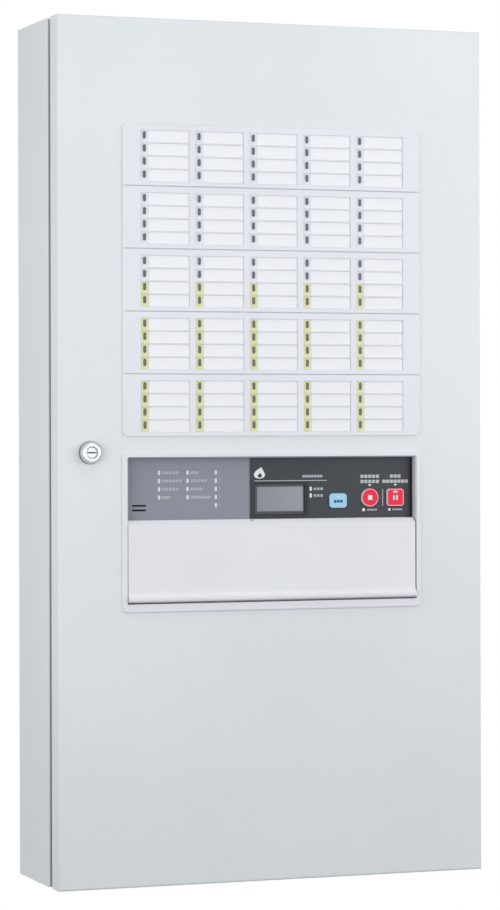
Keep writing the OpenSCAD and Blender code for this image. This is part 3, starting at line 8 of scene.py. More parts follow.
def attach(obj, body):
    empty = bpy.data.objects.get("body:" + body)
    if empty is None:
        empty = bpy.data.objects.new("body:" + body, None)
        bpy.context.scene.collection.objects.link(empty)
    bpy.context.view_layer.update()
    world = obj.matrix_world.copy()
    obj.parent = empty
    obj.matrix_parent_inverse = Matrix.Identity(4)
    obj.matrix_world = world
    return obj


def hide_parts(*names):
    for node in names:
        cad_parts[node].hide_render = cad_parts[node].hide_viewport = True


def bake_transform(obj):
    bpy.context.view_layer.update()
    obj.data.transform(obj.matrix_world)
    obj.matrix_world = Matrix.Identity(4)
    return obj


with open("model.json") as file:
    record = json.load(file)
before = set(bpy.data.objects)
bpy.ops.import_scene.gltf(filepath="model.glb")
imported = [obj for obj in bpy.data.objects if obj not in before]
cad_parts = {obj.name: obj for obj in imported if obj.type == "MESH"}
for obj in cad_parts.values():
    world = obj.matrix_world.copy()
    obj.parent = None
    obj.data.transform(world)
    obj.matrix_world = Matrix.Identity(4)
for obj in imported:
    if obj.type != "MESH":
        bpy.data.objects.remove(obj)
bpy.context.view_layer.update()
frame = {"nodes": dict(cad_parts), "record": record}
nodes = frame["nodes"]
record = frame["record"]
scene = bpy.context.scene
scene.view_settings.view_transform = "Standard"
bodyOf = {node: body for body, held in record["behaviour"]["bodies"].items() for node in held}
print("frame loaded:", len(nodes), "nodes")

# camera solved from the door's edges
viewpoint = {"place": (-1.232, -3.447, 0.027), "yaw": 20.07, "roll": -0.146, "lens": 125.49,
             "sensor": 36, "shiftY": -0.0303, "near": 0.05}
upright = Matrix.Rotation(math.radians(90), 4, "X")


def placeCamera(at):
    eye = bpy.data.cameras.new("eye")
    eye.lens = at["lens"]
    eye.sensor_width = at["sensor"]
    eye.shift_y = at["shiftY"]
    eye.clip_start = at["near"]
    holder = bpy.data.objects.new("eye", eye)
    turn = Matrix.Rotation(math.radians(-at["yaw"]), 4, "Z") @ upright
    roll = Matrix.Rotation(math.radians(at["roll"]), 4, "Z")
    holder.matrix_world = Matrix.Translation(at["place"]) @ turn @ roll
    scene.collection.objects.link(holder)
    scene.camera = holder


placeCamera(viewpoint)
print("camera placed")


# screen colour to linear light
def tone(red, green, blue):
    channels = [value / 255 for value in (red, green, blue)]
    linear = [v / 12.92 if v <= 0.04045 else ((v + 0.055) / 1.055) ** 2.4 for v in channels]
    return (*linear, 1.0)


def shaded(colour, share):
    return (*[min(1.0, c * share) for c in colour[:3]], 1.0)


# one operator of the class below; reflected, the other value comes first
def operator(operation, reflected=False):
    def apply(self, other=0.0):
        first, second = (other, self) if reflected else (self, other)
        return self.math(operation, first, second)

    return apply


# a socket that can be used in sums
class Flow:
    def __init__(self, web, socket):
        self.web = web
        self.socket = socket

    def math(self, operation, first, second=0.0):
        return self.web.node("Math", {"operation": operation}, {0: first, 1: second})

    __add__ = operator("ADD")
    __radd__ = operator("ADD", True)
    __sub__ = operator("SUBTRACT")
    __rsub__ = operator("SUBTRACT", True)
    __mul__ = operator("MULTIPLY")
    __rmul__ = operator("MULTIPLY", True)
    __truediv__ = operator("DIVIDE")
    __rtruediv__ = operator("DIVIDE", True)
    __mod__ = operator("FLOORED_MODULO")
    __rmod__ = operator("FLOORED_MODULO", True)
    __lt__ = operator("LESS_THAN")
    __gt__ = operator("GREATER_THAN")
    __abs__ = operator("ABSOLUTE")


# nodes that shaders and geometry trees share
sharedKinds = ("Math", "VectorMath", "SeparateXYZ", "CombineXYZ")


class Web:
    family = "ShaderNode"

    def node(self, kind, settings=None, sockets=None, out=0):
        family = "ShaderNode" if kind in sharedKinds else self.family
        whole = kind.startswith("FunctionNode")
        made = self.tree.nodes.new(kind if whole else family + kind)
        for name, value in (settings or {}).items():
            if name == "stops":
                ramp = made.color_ramp
                ramp.interpolation = "CONSTANT"
                while len(ramp.elements) < len(value):
                    ramp.elements.new(0.5)
                for stop, (at, colour) in zip(ramp.elements, value):
                    stop.position = at
                    stop.color = colour
            else:
                setattr(made, name, value)
        for key, value in (sockets or {}).items():
            for one in value if isinstance(value, list) else [value]:
                if isinstance(one, Flow):
                    self.tree.links.new(one.socket, made.inputs[key])
                else:
                    made.inputs[key].default_value = one
        return Flow(self, made.outputs[out]) if made.outputs else None

    # one on rays that show a thing to the eye: straight, mirrored or through a clear part
    def seen(self):
        rays = ("Is Camera Ray", "Is Glossy Ray", "Is Transmission Ray")
        straight, mirrored, through = [self.node("LightPath", None, None, ray) for ray in rays]
        return straight + mirrored + through


class Finish(Web):
    def __init__(self, name):
        self.material = bpy.data.materials.new(name)
        self.material.use_nodes = True
        self.tree = self.material.node_tree
        self.tree.nodes.clear()
        self.place = self.node("TexCoord", out="Object")

    def axis(self, letter):
        return self.node("SeparateXYZ", None, {0: self.place}, letter)

    def grain(self, scale, detail=2.0, stretch=None):
        vector = self.place
        if stretch:
            vector = self.node("Mapping", None, {"Vector": self.place, "Scale": stretch})
        return self.node("TexNoise", None, {"Vector": vector, "Scale": scale, "Detail": detail})

    def cells(self, scale, distance="EUCLIDEAN"):
        return self.node("TexVoronoi", {"distance": distance}, {"Vector": self.place, "Scale": scale})

    # distance from the middle line of even stripes across an axis, up to 0.5
    def stripes(self, letter, perMetre):
        return abs((self.axis(letter) * perMetre) % 1.0 - 0.5)

    def between(self, value, low, high):
        return self.node("MapRange", {"interpolation_type": "SMOOTHSTEP"},
                         {"Value": value, "From Min": low, "From Max": high})

    # the colour sockets of a Mix node have numbers of their own
    def mix(self, share, low, high):
        return self.node("Mix", {"data_type": "RGBA"}, {0: share, 6: low, 7: high}, 2)

    def relief(self, height, strength, distance):
        return self.node("Bump", None, {"Strength": strength, "Distance": distance, "Height": height})

    def surface(self, sockets):
        shader = self.node("BsdfPrincipled", None, sockets)
        self.node("OutputMaterial", None, {"Surface": shader})
        return self.material

    # share of the area inside an upright rectangle of the front plane
    def within(self, p, soft=0.0002):
        across = abs(self.axis("X") - p["x"])
        up = abs(self.axis("Z") - p["z"])
        inX = 1 - self.between(across, p["width"] / 2 - soft, p["width"] / 2 + soft)
        inZ = 1 - self.between(up, p["height"] / 2 - soft, p["height"] / 2 + soft)
        return inX * inZ


# sheet steel under a powder coat: slow mottling, orange peel and fine speckle, with painted shade on the
# front lip of the box
cabinetPaint = {"colour": tone(226, 231, 234), "mottle": 0.03, "peelScale": 620, "peelDepth": 0.00006,
                "speckleScale": 2600, "rough": 0.46, "lip": -0.11686, "lipReach": (0.0004, 0.0007),
                "lipShadeColour": tone(158, 157, 160), "lipShadeShare": 0.8}


def makeCabinetPaint(p, name="cabinet_paint"):
    f = Finish(name)
    slow = f.grain(5, 3)
    peel = f.grain(p["peelScale"])
    speckle = f.cells(p["speckleScale"])
    share = f.between(slow, 0.3, 0.7) * 0.7 + f.between(peel, 0.35, 0.65) * 0.3
    colour = f.mix(share, shaded(p["colour"], 1 - p["mottle"]), shaded(p["colour"], 1 + p["mottle"] / 2))
    # painted shade: the box's front lip beside the door gap is mixed toward grey, standing in for the
    # groove's shadow
    lip = 1 - f.between(abs(f.axis("Y") - p["lip"]), *p["lipReach"])
    colour = f.mix(lip * p["lipShadeShare"], colour, p["lipShadeColour"])
    rough = p["rough"] + (peel - 0.5) * 0.16 + (speckle - 0.5) * 0.05
    normal = f.relief(peel + speckle * 0.3, 0.5, p["peelDepth"])
    return f.surface({"Base Color": colour, "Roughness": rough, "Normal": normal})


# ledge of the tray that shows round the display
displayLedge = {"x": 0.0095, "z": -0.0526, "width": 0.066, "height": 0.0392, "colour": tone(66, 71, 80)}


# moulded plastic with a spark-eroded grain and a faint flow pattern; a patch has a colour of its own
def makeMoulded(name, colour, rough=0.42, grainScale=1900, depth=0.00004, flow=0.03, coat=0.0, gloss=0.5,
                patch=None):
    f = Finish(name)
    slow = f.grain(9, 3)
    grain = f.grain(grainScale)
    pits = f.cells(grainScale * 1.3)
    share = f.between(slow, 0.3, 0.7) * 0.6 + f.between(grain, 0.3, 0.7) * 0.4
    tint = f.mix(share, shaded(colour, 1 - flow), shaded(colour, 1 + flow / 2))
    if patch:
        tint = f.mix(f.within(patch), tint, patch["colour"])
    uneven = rough + (grain - 0.5) * 0.18 + (slow - 0.5) * 0.06
    normal = f.relief(grain + pits * 0.4, 0.4, depth)
    return f.surface({"Base Color": tint, "Roughness": uneven, "Normal": normal, "Coat Weight": coat,
                      "Coat Roughness": 0.15, "Specular IOR Level": gloss})


# matt film of the dark panel, printed darker round the display, with painted shade darkening its right end
# beside the recess wall
panelFilm = {"colour": tone(62, 67, 73), "frame": tone(52, 57, 63), "edge": tone(16, 18, 23),
             "x": 0.009, "z": -0.053, "width": 0.070, "height": 0.042, "blur": 0.001,
             "end": (0.1628, 0.1672), "grainScale": 2400, "rough": 0.42, "gloss": 0.25}


def makePanelFilm(p):
    f = Finish("panel_film")
    grain = f.grain(p["grainScale"])
    slow = f.grain(14, 3)
    share = f.between(slow, 0.3, 0.7) * 0.5 + f.between(grain, 0.3, 0.7) * 0.5
    colour = f.mix(share, shaded(p["colour"], 0.95), shaded(p["colour"], 1.05))
    colour = f.mix(f.within(p, p["blur"]), colour, p["frame"])
    # painted shade: the film turns near black toward its right end
    colour = f.mix(f.between(f.axis("X"), *p["end"]), colour, p["edge"])
    rough = p["rough"] + (grain - 0.5) * 0.16
    return f.surface({"Base Color": colour, "Roughness": rough, "Normal": f.relief(grain, 0.35, 0.00003),
                      "Specular IOR Level": p["gloss"]})


# zinc plate: crystal spangle, rolling marks and a little white bloom
zincPlate = {"light": tone(196, 199, 203), "dark": tone(168, 172, 178), "bloom": tone(206, 207, 206),
             "spangleScale": 170, "bloomScale": 24, "roll": (60.0, 60.0, 900.0)}
terminalBrass = dict(zincPlate, light=tone(206, 176, 108), dark=tone(168, 136, 74),
                     bloom=tone(190, 166, 118))


def makeZinc(p, name="zinc_plate"):
    f = Finish(name)
    spangle = f.cells(p["spangleScale"])
    marks = f.grain(1.0, 3, p["roll"])
    bloom = f.between(f.grain(p["bloomScale"], 4), 0.56, 0.72)
    base = f.mix(f.between(spangle, 0.1, 0.8) * 0.5 + marks * 0.5, p["dark"], p["light"])
    colour = f.mix(bloom * 0.5, base, p["bloom"])
    rough = 0.34 + marks * 0.14 + bloom * 0.18
    normal = f.relief(marks + spangle * 0.2, 0.25, 0.00004)
    return f.surface({"Base Color": colour, "Roughness": rough, "Metallic": 0.9 - bloom * 0.35,
                      "Normal": normal})


# painted shade: the lock's cone is darker at its foot, where it meets the door
lockFootShade = {"from": -0.1578, "to": -0.1562, "colour": tone(112, 115, 120)}


# plated metal with turning hairlines and a few fingermarks
def makePlated(name, colour, rough, metallic=1.0, foot=None):
    f = Finish(name)
    hair = f.grain(2600)
    marks = f.between(f.grain(130, 3), 0.52, 0.7)
    tint = f.mix(marks * 0.5, colour, shaded(colour, 0.88))
    # painted shade toward the foot, where a foot is given
    if foot:
        tint = f.mix(f.between(f.axis("Y"), foot["from"], foot["to"]), tint, foot["colour"])
    uneven = rough + hair * 0.08 + marks * 0.1
    return f.surface({"Base Color": tint, "Roughness": uneven, "Metallic": metallic,
                      "Normal": f.relief(hair, 0.12, 0.00002)})


# solder mask with copper tracks and tinned pads under it
boardFinish = {"mask": tone(30, 92, 58), "track": tone(58, 124, 78), "pad": tone(186, 178, 140),
               "lanes": 230, "laneWidth": 0.16, "padScale": 95.0, "padSize": 0.11, "districtScale": 26}


def makeBoard(p):
    f = Finish("lamp_board")
    district = f.grain(p["districtScale"], 1)
    streetX = f.stripes("X", p["lanes"]) < p["laneWidth"]
    streetZ = f.stripes("Z", p["lanes"]) < p["laneWidth"]
    tracks = streetX * (district > 0.52) + streetZ * (district < 0.44)
    pads = f.cells(p["padScale"], "CHEBYCHEV") < p["padSize"]
    colour = f.mix(tracks * 0.8, p["mask"], p["track"])
    colour = f.mix(pads, colour, p["pad"])
    colour = f.mix(f.between(f.grain(40), 0.3, 0.8) * 0.25, colour, shaded(p["mask"], 0.7))
    rough = 0.32 + f.grain(700) * 0.2 - pads * 0.08
    return f.surface({"Base Color": colour, "Roughness": rough, "Metallic": pads * 0.7,
                      "Normal": f.relief(tracks + pads, 0.3, 0.00006)})


# lamp lenses, ribbed inside; below a height they take a tint from the yellow film around them
zoneLens = {"colour": tone(110, 112, 118), "edge": tone(78, 80, 87), "ribs": 1500,
            "tint": tone(102, 100, 88), "below": 0.1872}
statusLens = {"colour": tone(236, 237, 240), "edge": tone(206, 208, 214), "ribs": 1600}


def makeLampLens(name, p):
    f = Finish(name)
    rib = f.stripes("Z", p["ribs"]) * 2
    cloud = f.grain(500)
    colour = f.mix(rib * 0.45 + cloud * 0.4, p["edge"], p["colour"])
    if "tint" in p:
        colour = f.mix((f.axis("Z") < p["below"]) * 0.8, colour, p["tint"])
    rough = 0.2 + cloud * 0.16
    return f.surface({"Base Color": colour, "Roughness": rough, "Coat Weight": 0.4, "Coat Roughness": 0.08,
                      "Normal": f.relief(rib, 0.15, 0.00005)})


# grey reflective screen behind a clear pane, with a faint dot raster and a painted sheen, a diagonal
# gradient toward a lighter grey
display = {"x": 0.0102, "z": -0.0526, "width": 0.0548, "height": 0.0272, "border": tone(58, 64, 72),
           "screen": tone(136, 140, 149), "lit": tone(150, 154, 163), "lines": tone(120, 124, 130),
           "raster": 2400, "lineFrom": 0.42, "paintedSheen": (-0.05, 0.02)}


def makeDisplay(p):
    f = Finish("display_screen")
    inside = f.within(p)
    rasterX = f.stripes("X", p["raster"]) > p["lineFrom"]
    rasterZ = f.stripes("Z", p["raster"]) > p["lineFrom"]
    # painted sheen: a diagonal gradient from the screen grey to the lighter lit grey
    paintedSheen = f.between(f.axis("X") + f.axis("Z") * 0.6, *p["paintedSheen"])
    screen = f.mix(paintedSheen + f.grain(60) * 0.2, p["screen"], p["lit"])
    screen = f.mix((rasterX + rasterZ) * 0.05, screen, p["lines"])
    colour = f.mix(inside, p["border"], screen)
    rough = 0.3 - inside * 0.08 + f.grain(900, 1) * 0.06
    return f.surface({"Base Color": colour, "Roughness": rough, "Coat Weight": 0.35,
                      "Coat Roughness": 0.05})


# paper card with fibres
def makeCard():
    f = Finish("label_card")
    fibres = f.grain(420, 4, (1.0, 1.0, 3.0))
    colour = f.mix(f.between(fibres, 0.3, 0.75), tone(236, 239, 244), tone(246, 247, 249))
    return f.surface({"Base Color": colour, "Roughness": 0.55 + fibres * 0.2,
                      "Normal": f.relief(fibres, 0.2, 0.00003)})


# foam, rubber, cloth, and edges painted dark as shade, all with small cells
def makeSoft(name, colour, cellScale, depth, rough=0.75, gloss=0.5):
    f = Finish(name)
    cells = f.cells(cellScale)
    slow = f.grain(30, 3)
    tint = f.mix(f.between(cells, 0.0, 0.7) * 0.6 + slow * 0.4, shaded(colour, 0.75), shaded(colour, 1.25))
    return f.surface({"Base Color": tint, "Roughness": rough + slow * 0.12,
                      "Normal": f.relief(cells, 0.5, depth), "Specular IOR Level": gloss})


# sheets of the core, seen at their edges, with spots of rust
coreSheets = {"perMetre": 2000, "steel": tone(92, 96, 102), "gap": tone(52, 55, 60),
              "rust": tone(112, 84, 66), "rustScale": 60}


def makeCore(p):
    f = Finish("core_sheets")
    sheet = f.stripes("Y", p["perMetre"]) * 2
    rust = f.between(f.grain(p["rustScale"], 4), 0.55, 0.75)
    colour = f.mix(f.between(sheet, 0.6, 0.9), p["steel"], p["gap"])
    colour = f.mix(rust * 0.35, colour, p["rust"])
    return f.surface({"Base Color": colour, "Roughness": 0.45 + rust * 0.25, "Metallic": 0.8 - rust * 0.4,
                      "Normal": f.relief(sheet, 0.5, 0.0001)})


# enamelled wire, layer on layer, under a band of tape
woundWire = {"perMetre": 900, "low": tone(96, 48, 24), "high": tone(186, 108, 62), "middle": -0.147,
             "tapeReach": (0.034, 0.0345), "tape": (tone(206, 184, 96), tone(226, 206, 128)),
             "weave": (1.0, 1.0, 6.0)}


def makeWinding(p):
    f = Finish("wound_wire")
    turn = f.stripes("Z", p["perMetre"]) * 2
    taped = 1 - f.between(abs(f.axis("Z") - p["middle"]), *p["tapeReach"])
    wire = f.mix(turn, p["low"], p["high"])
    tape = f.mix(f.grain(300, 3, p["weave"]), *p["tape"])
    return f.surface({"Base Color": f.mix(taped, wire, tape), "Roughness": 0.32 + taped * 0.2,
                      "Metallic": (1 - taped) * 0.6, "Normal": f.relief(turn * (1 - taped), 0.6, 0.0003)})


# ink of the marks, slightly uneven
def makeInk(name, colour):
    f = Finish(name)
    wear = f.grain(1400)
    tint = f.mix(f.between(wear, 0.35, 0.7), shaded(colour, 0.94), shaded(colour, 1.03))
    return f.surface({"Base Color": tint, "Roughness": 0.45 + wear * 0.15})


# insulated wires, one colour to a strand
strandColours = [tone(178, 42, 40), tone(40, 42, 46), tone(214, 214, 210),
                 tone(44, 84, 150), tone(206, 178, 52), tone(70, 128, 76)]


def makeStrands():
    f = Finish("wire_strands")
    strand = f.node("Attribute", {"attribute_name": "strand"}, None, "Fac")
    stops = [(index / len(strandColours), colour) for index, colour in enumerate(strandColours)]
    colour = f.node("ValToRGB", {"stops": stops}, {"Fac": strand})
    scuff = f.grain(600)
    colour = f.mix(scuff * 0.12, colour, tone(120, 120, 120))
    return f.surface({"Base Color": colour, "Roughness": 0.38 + scuff * 0.2})


# numbers of a moulded finish: roughness, grain scale, grain depth, flow, coat, gloss; of a soft one:
# cell scale, cell depth, roughness, gloss; of a plated one: roughness, share of metal
finishes = {
    "paint": makeCabinetPaint(cabinetPaint),
    # the front frame's neck takes a grey copy of the cabinet paint: painted shade for the shadowed groove
    # round the door
    "frame": makeCabinetPaint(dict(cabinetPaint, colour=tone(194, 194, 197)), "frame_paint_painted_shade"),
    "unit": makeMoulded("unit_white", tone(229, 232, 238), 0.44),
    "flap": makeMoulded("flap_white", tone(232, 234, 238), 0.4),
    # a greyer copy of the bezel's white: painted shade for the recess walls
    "wall": makeMoulded("recess_wall_painted_shade", tone(206, 209, 215), 0.5),
    "tray": makeMoulded("tray_grey", tone(136, 141, 153), 0.5, 1500, 0.00005, 0.04, patch=displayLedge),
    "panel": makePanelFilm(panelFilm),
    # painted shade for the edges round the display
    "window": makeSoft("window_edge_painted_shade", tone(50, 54, 60), 2200, 0.00002, 0.7, 0.1),
    "zinc": makeZinc(zincPlate),
    "chrome": makePlated("bright_chrome", tone(236, 238, 241), 0.12),
    # the lock's chrome in lit, shaded and dark copies: painted light and shade
    "lockFaceLight": makePlated("lock_face_painted_light", tone(244, 246, 249), 0.2, 0.55),
    "lockConeShade": makePlated("lock_cone_painted_shade", tone(212, 215, 218), 0.28, 1.0, lockFootShade),
    "lockBoreShade": makePlated("lock_bore_painted_shade", tone(96, 99, 104), 0.4, 0.8),
    "board": makeBoard(boardFinish),
    "lens": makeLampLens("lamp_lens", zoneLens),
    "dot": makeLampLens("status_lens", statusLens),
    "display": makeDisplay(display),
    "card": makeCard(),
    "yellow": makeMoulded("yellow_film", tone(224, 227, 176), 0.35, 1200, 0.00002, 0.05, 0.2),
    "red": makeMoulded("red_key", tone(236, 33, 71), 0.34, 1700, 0.00003, 0.06, 0.1, 0.3),
    "blue": makeMoulded("blue_key", tone(160, 213, 242), 0.36, 1700, 0.00003, 0.05, 0.25),
    "greyKey": makeMoulded("grey_key", tone(176, 180, 188), 0.4, 1700, 0.00003, 0.05),
    # the speaker's dark cloth, also used as painted shade on the walls of the tray's speaker slots
    "void": makeSoft("speaker_cloth_and_painted_shade", tone(9, 10, 13), 2600, 0.00004, 0.85, 0.1),
    "relay": makeMoulded("relay_case", tone(198, 196, 186), 0.3, 1600, 0.00002),
    "black": makeMoulded("black_moulding", tone(44, 46, 50), 0.4, 1500, 0.00005, 0.12),
    "duct": makeMoulded("duct_grey", tone(178, 184, 192), 0.5, 1300, 0.00005, 0.05),
    "terminal": makeMoulded("terminal_black", tone(38, 44, 48), 0.38, 1500, 0.00004, 0.12),
    "switch": makeMoulded("switch_white", tone(226, 225, 220), 0.4, 1500, 0.00004, 0.04),
    "battery": makeMoulded("battery_case", tone(58, 62, 70), 0.46, 900, 0.00008, 0.14),
    "rubber": makeSoft("grommet_rubber", tone(46, 47, 49), 1500, 0.00004, 0.6),
    "foam": makeSoft("seal_foam", tone(74, 76, 79), 1900, 0.0002),
    "core": makeCore(coreSheets),
    "winding": makeWinding(woundWire),
    "brass": makeZinc(terminalBrass, "terminal_brass"),
    "solder": makePlated("solder_tin", tone(196, 198, 202), 0.3),
    "can": makePlated("capacitor_sleeve", tone(52, 66, 120), 0.35, 0.0),
    "chip": makeMoulded("part_cream", tone(206, 188, 150), 0.45, 1500, 0.00003, 0.08),
    "white": makeInk("white_ink", tone(236, 238, 242)),
    "rule": makeInk("rule_ink", tone(188, 191, 197)),
    "label": makeInk("label_ink", tone(172, 176, 185)),
    "paleBlue": makeInk("pale_blue_ink", tone(186, 228, 252)),
    # grey ink of the deck labels, also painted shade at the ends of the lock's key slot
    "steelInkAndSlotShade": makeInk("steel_ink_and_slot_shade", tone(118, 121, 126)),
    "blueInk": makeInk("blue_ink", tone(28, 66, 128)),
    "darkInk": makeInk("dark_ink", tone(70, 74, 82)),
    "strands": makeStrands(),
}
print("finishes made:", len(finishes))


def addPiece(name, mesh, finish=None):
    piece = bpy.data.objects.new(name, mesh)
    scene.collection.objects.link(piece)
    if finish:
        mesh.materials.clear()
        mesh.materials.append(finishes[finish])
    return piece


def seat(piece, body):
    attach(piece, body)


# plain mesh of an object with its modifiers
def plainMesh(piece):
    bpy.context.view_layer.update()
    return bpy.data.meshes.new_from_object(piece.evaluated_get(bpy.context.evaluated_depsgraph_get()))


def settle(piece):
    done = plainMesh(piece)
    piece.modifiers.clear()
    piece.data = done


# other finish on the faces of a piece that a test picks by middle and normal
def sortFaces(mesh, finish, test):
    mesh.materials.append(finishes[finish])
    index = len(mesh.materials) - 1
    for face in mesh.polygons:
        if test(face.center, face.normal):
            face.material_index = index


# how a copy of a CAD node is merged, and which of its edges are rounded
rounding = {"merge": 0.000002, "level": 0.00001, "flat": math.radians(0.5), "sharp": math.radians(35)}


# bevel weights: full on the outer rim of a front face, little on the edges of its pockets
def weighRims(mesh, rim):
    nearest = min(v.co.y for v in mesh.vertices) + rounding["level"]
    low = [min(v.co[i] for v in mesh.vertices) for i in (0, 2)]
    high = [max(v.co[i] for v in mesh.vertices) for i in (0, 2)]
    weight = mesh.attributes.new("bevel_weight_edge", "FLOAT", "EDGE")
    work = bmesh.new()
    work.from_mesh(mesh)
    for edge in work.edges:
        if len(edge.link_faces) != 2 or edge.calc_face_angle(0.0) < rounding["sharp"]:
            continue
        middle = (edge.verts[0].co + edge.verts[1].co) / 2
        side = min(middle.x - low[0], high[0] - middle.x)
        upper = middle.z > (low[1] + high[1]) / 2
        end = high[1] - middle.z if upper else middle.z - low[1]
        corner = rim["corners"][0 if upper else 1]
        fromArc = abs(math.hypot(corner - side, corner - end) - corner)
        onArc = max(side, end) < corner and fromArc < rim["reach"]
        onRim = min(side, end) < rim["reach"] or onArc
        if onRim and max(v.co.y for v in edge.verts) < nearest:
            weight.data[edge.index].value = 1.0
        elif not onRim:
            weight.data[edge.index].value = rim["inner"] / rim["width"]
    work.free()


# copy of a CAD node, merged, with its sharp edges rounded
def soften(name, finish, width=0.0003, segments=2, rim=None, grow=None):
    mesh = nodes[name].data.copy()
    work = bmesh.new()
    work.from_mesh(mesh)
    bmesh.ops.remove_doubles(work, verts=work.verts, dist=rounding["merge"])
    if rim:
        bmesh.ops.dissolve_limit(work, angle_limit=rounding["flat"], verts=work.verts, edges=work.edges)
    if grow:
        for corner in work.verts:
            if corner.co.x < grow["leftOf"]:
                corner.co.x -= grow["by"]
    work.to_mesh(mesh)
    work.free()
    mesh.shade_flat()
    piece = addPiece(name + "_soft", mesh, finish)
    bevel = piece.modifiers.new("round", "BEVEL")
    bevel.segments = segments
    bevel.loop_slide = False
    bevel.width = rim["width"] if rim else width
    bevel.limit_method = "WEIGHT" if rim else "ANGLE"
    bevel.angle_limit = rounding["sharp"]
    bevel.use_clamp_overlap = not rim
    if rim:
        weighRims(mesh, rim)
    settle(piece)
    seat(piece, bodyOf[name])
    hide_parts(name)
    return piece


def carry(name, finish):
    for place in nodes[name].material_slots:
        place.material = finishes[finish]


# outer edges of the white mouldings are rounder than the edges of their pockets
unitRim = {"width": 0.0006, "inner": 0.00025, "reach": 0.0003, "corners": (0.001, 0.001)}
topRim = dict(unitRim, corners=(0.006, 0.001))
lowRim = dict(unitRim, corners=(0.001, 0.006))
bezelRim = {"width": 0.0014, "inner": 0.0003, "reach": 0.0003, "corners": (0.006, 0.006)}
# the flap's left edge stands a little further out than its solid
flapEdge = {"leftOf": -0.169, "by": 0.0008}
# finish, width and steps of the rounded edges, rim, and edge moved out
softened = {
    "door_stiffeners": ("paint", 0.0004, 2),
    "zone_unit_1": ("unit", 0.0, 3, topRim),
    "zone_unit_2": ("unit", 0.0, 3, unitRim),
    "zone_unit_3": ("unit", 0.0, 3, unitRim),
    "zone_unit_4": ("unit", 0.0, 3, unitRim),
    "zone_unit_5": ("unit", 0.0, 3, lowRim),
    "operation_bezel": ("unit", 0.0, 3, bezelRim),
    "indicator_tray": ("tray", 0.0003, 2),
    "display_panel": ("panel", 0.0002, 2),
    "display_lens": ("display", 0.0002, 2),
    "flap": ("flap", 0.0006, 3, None, flapEdge),
    "switch_deck": ("unit", 0.0003, 2),
    "guide_key": ("blue", 0.0006, 5),
    "stop_key": ("red", 0.0006, 5),
    "bell_key": ("red", 0.0006, 5),
    "reset_key": ("greyKey", 0.0006, 4),
    "test_key": ("greyKey", 0.0006, 4),
    "chime_slide": ("black", 0.0004, 3),
    "zone_dial": ("black", 0.0006, 3),
    "phone_jack": ("chrome", 0.0003, 2),
    "mains_switch": ("switch", 0.0012, 3),
    "mains_lever": ("black", 0.0008, 3),
    "battery_pack": ("battery", 0.002, 3),
    "battery_tray": ("zinc", 0.0004, 2),
    "power_supply": ("zinc", 0.0005, 2),
    "chassis_plate": ("zinc", 0.0003, 2),
    "terminal_strips": ("terminal", 0.0004, 2),
    "wire_ducts": ("duct", 0.0004, 2),
    "transformer_core": ("core", 0.0004, 2),
    "transformer_coil": ("winding", 0.0025, 3),
    "clamp_bars": ("zinc", 0.0003, 2),
    "strike_plate": ("zinc", 0.0003, 2),
    "lock_body": ("lockConeShade", 0.0003, 3),
    "lock_plug": ("lockFaceLight", 0.0003, 3),
    "lock_nut": ("zinc", 0.0004, 2),
    "lock_cam": ("zinc", 0.0004, 2),
    "cable_grommets": ("rubber", 0.0006, 3),
    "door_gasket": ("foam", 0.0015, 3),
    "zone_cards": ("card", 0.0001, 1),
    "zone_markers": ("yellow", 0.0001, 1),
    "line_board": ("board", 0.0004, 2),
    "relay_board": ("board", 0.0004, 2),
}
soft = {name: soften(name, *how) for name, how in softened.items()}
carried = {
    "paint": ("door_panel", "back_box"),
    "frame": ("front_frame",),
    "zinc": ("box_hinges", "door_hinges", "hinge_pins", "chassis_screws", "unit_screws", "cam_screw",
             "flap_pins"),
    "brass": ("terminal_screws",),
    "board": ("zone_boards", "control_board"),
    "void": ("speaker",),
    "black": ("display_module",),
}
for finish, names in carried.items():
    for name in names:
        carry(name, finish)
print("CAD nodes dressed:", len(softened) + sum(len(names) for names in carried.values()))

# lock: one chrome painted as a brighter copy on the face and a duller copy on the cone, painted light and
# shade, with the bore and key slot painted dark as painted shade
lockFinish = {"x": -0.214, "faceTo": -0.1622, "slotFrom": -0.1612, "bore": 0.0072, "facing": -0.8}


def finishLock(p):
    def onFace(at, normal):
        return normal.y < p["facing"] and at.y < p["faceTo"]

    def inBore(at, normal):
        return math.hypot(at.x - p["x"], at.z) < p["bore"] and normal.y > p["facing"]

    def inSlot(at, normal):
        return at.y > p["slotFrom"]

    sortFaces(soft["lock_body"].data, "lockFaceLight", onFace)
    sortFaces(soft["lock_body"].data, "lockBoreShade", inBore)
    sortFaces(soft["lock_plug"].data, "lockBoreShade", inSlot)


finishLock(lockFinish)

# parts of the two boards in the box, in three finishes by turns
fittedBoards = {"line_board": {"face": -0.0356, "low": (-0.135, 0.113), "pitch": (0.027, 0.028)},
                "relay_board": {"face": -0.0356, "low": (-0.135, 0.009), "pitch": (0.03375, 0.027)}}
partFinishes = ("chip", "relay", "black")


def finishBoard(name, p):
    def turnAt(at):
        column = math.floor((at.x - p["low"][0]) / p["pitch"][0])
        row = math.floor((at.z - p["low"][1]) / p["pitch"][1])
        return (column + row) % len(partFinishes)

    for turn, finish in enumerate(partFinishes):
        def stands(at, normal):
            return at.y < p["face"] and turnAt(at) == turn

        sortFaces(soft[name].data, finish, stands)


for name, fitted in fittedBoards.items():
    finishBoard(name, fitted)


def inField(at, x, z):
    return x[0] < at.x < x[1] and z[0] < at.z < z[1]


# painted shade: the edges round the display, on the dark panel and on the tray under it, take a dull dark
# finish
windowFinish = {"x": (-0.0235, 0.0425), "z": (-0.0722, -0.033), "flat": 0.97}


def finishWindow(p):
    def roundWindow(at, normal):
        return inField(at, p["x"], p["z"]) and abs(normal.y) < p["flat"]

    for name in ("display_panel", "indicator_tray"):
        sortFaces(soft[name].data, "window", roundWindow)


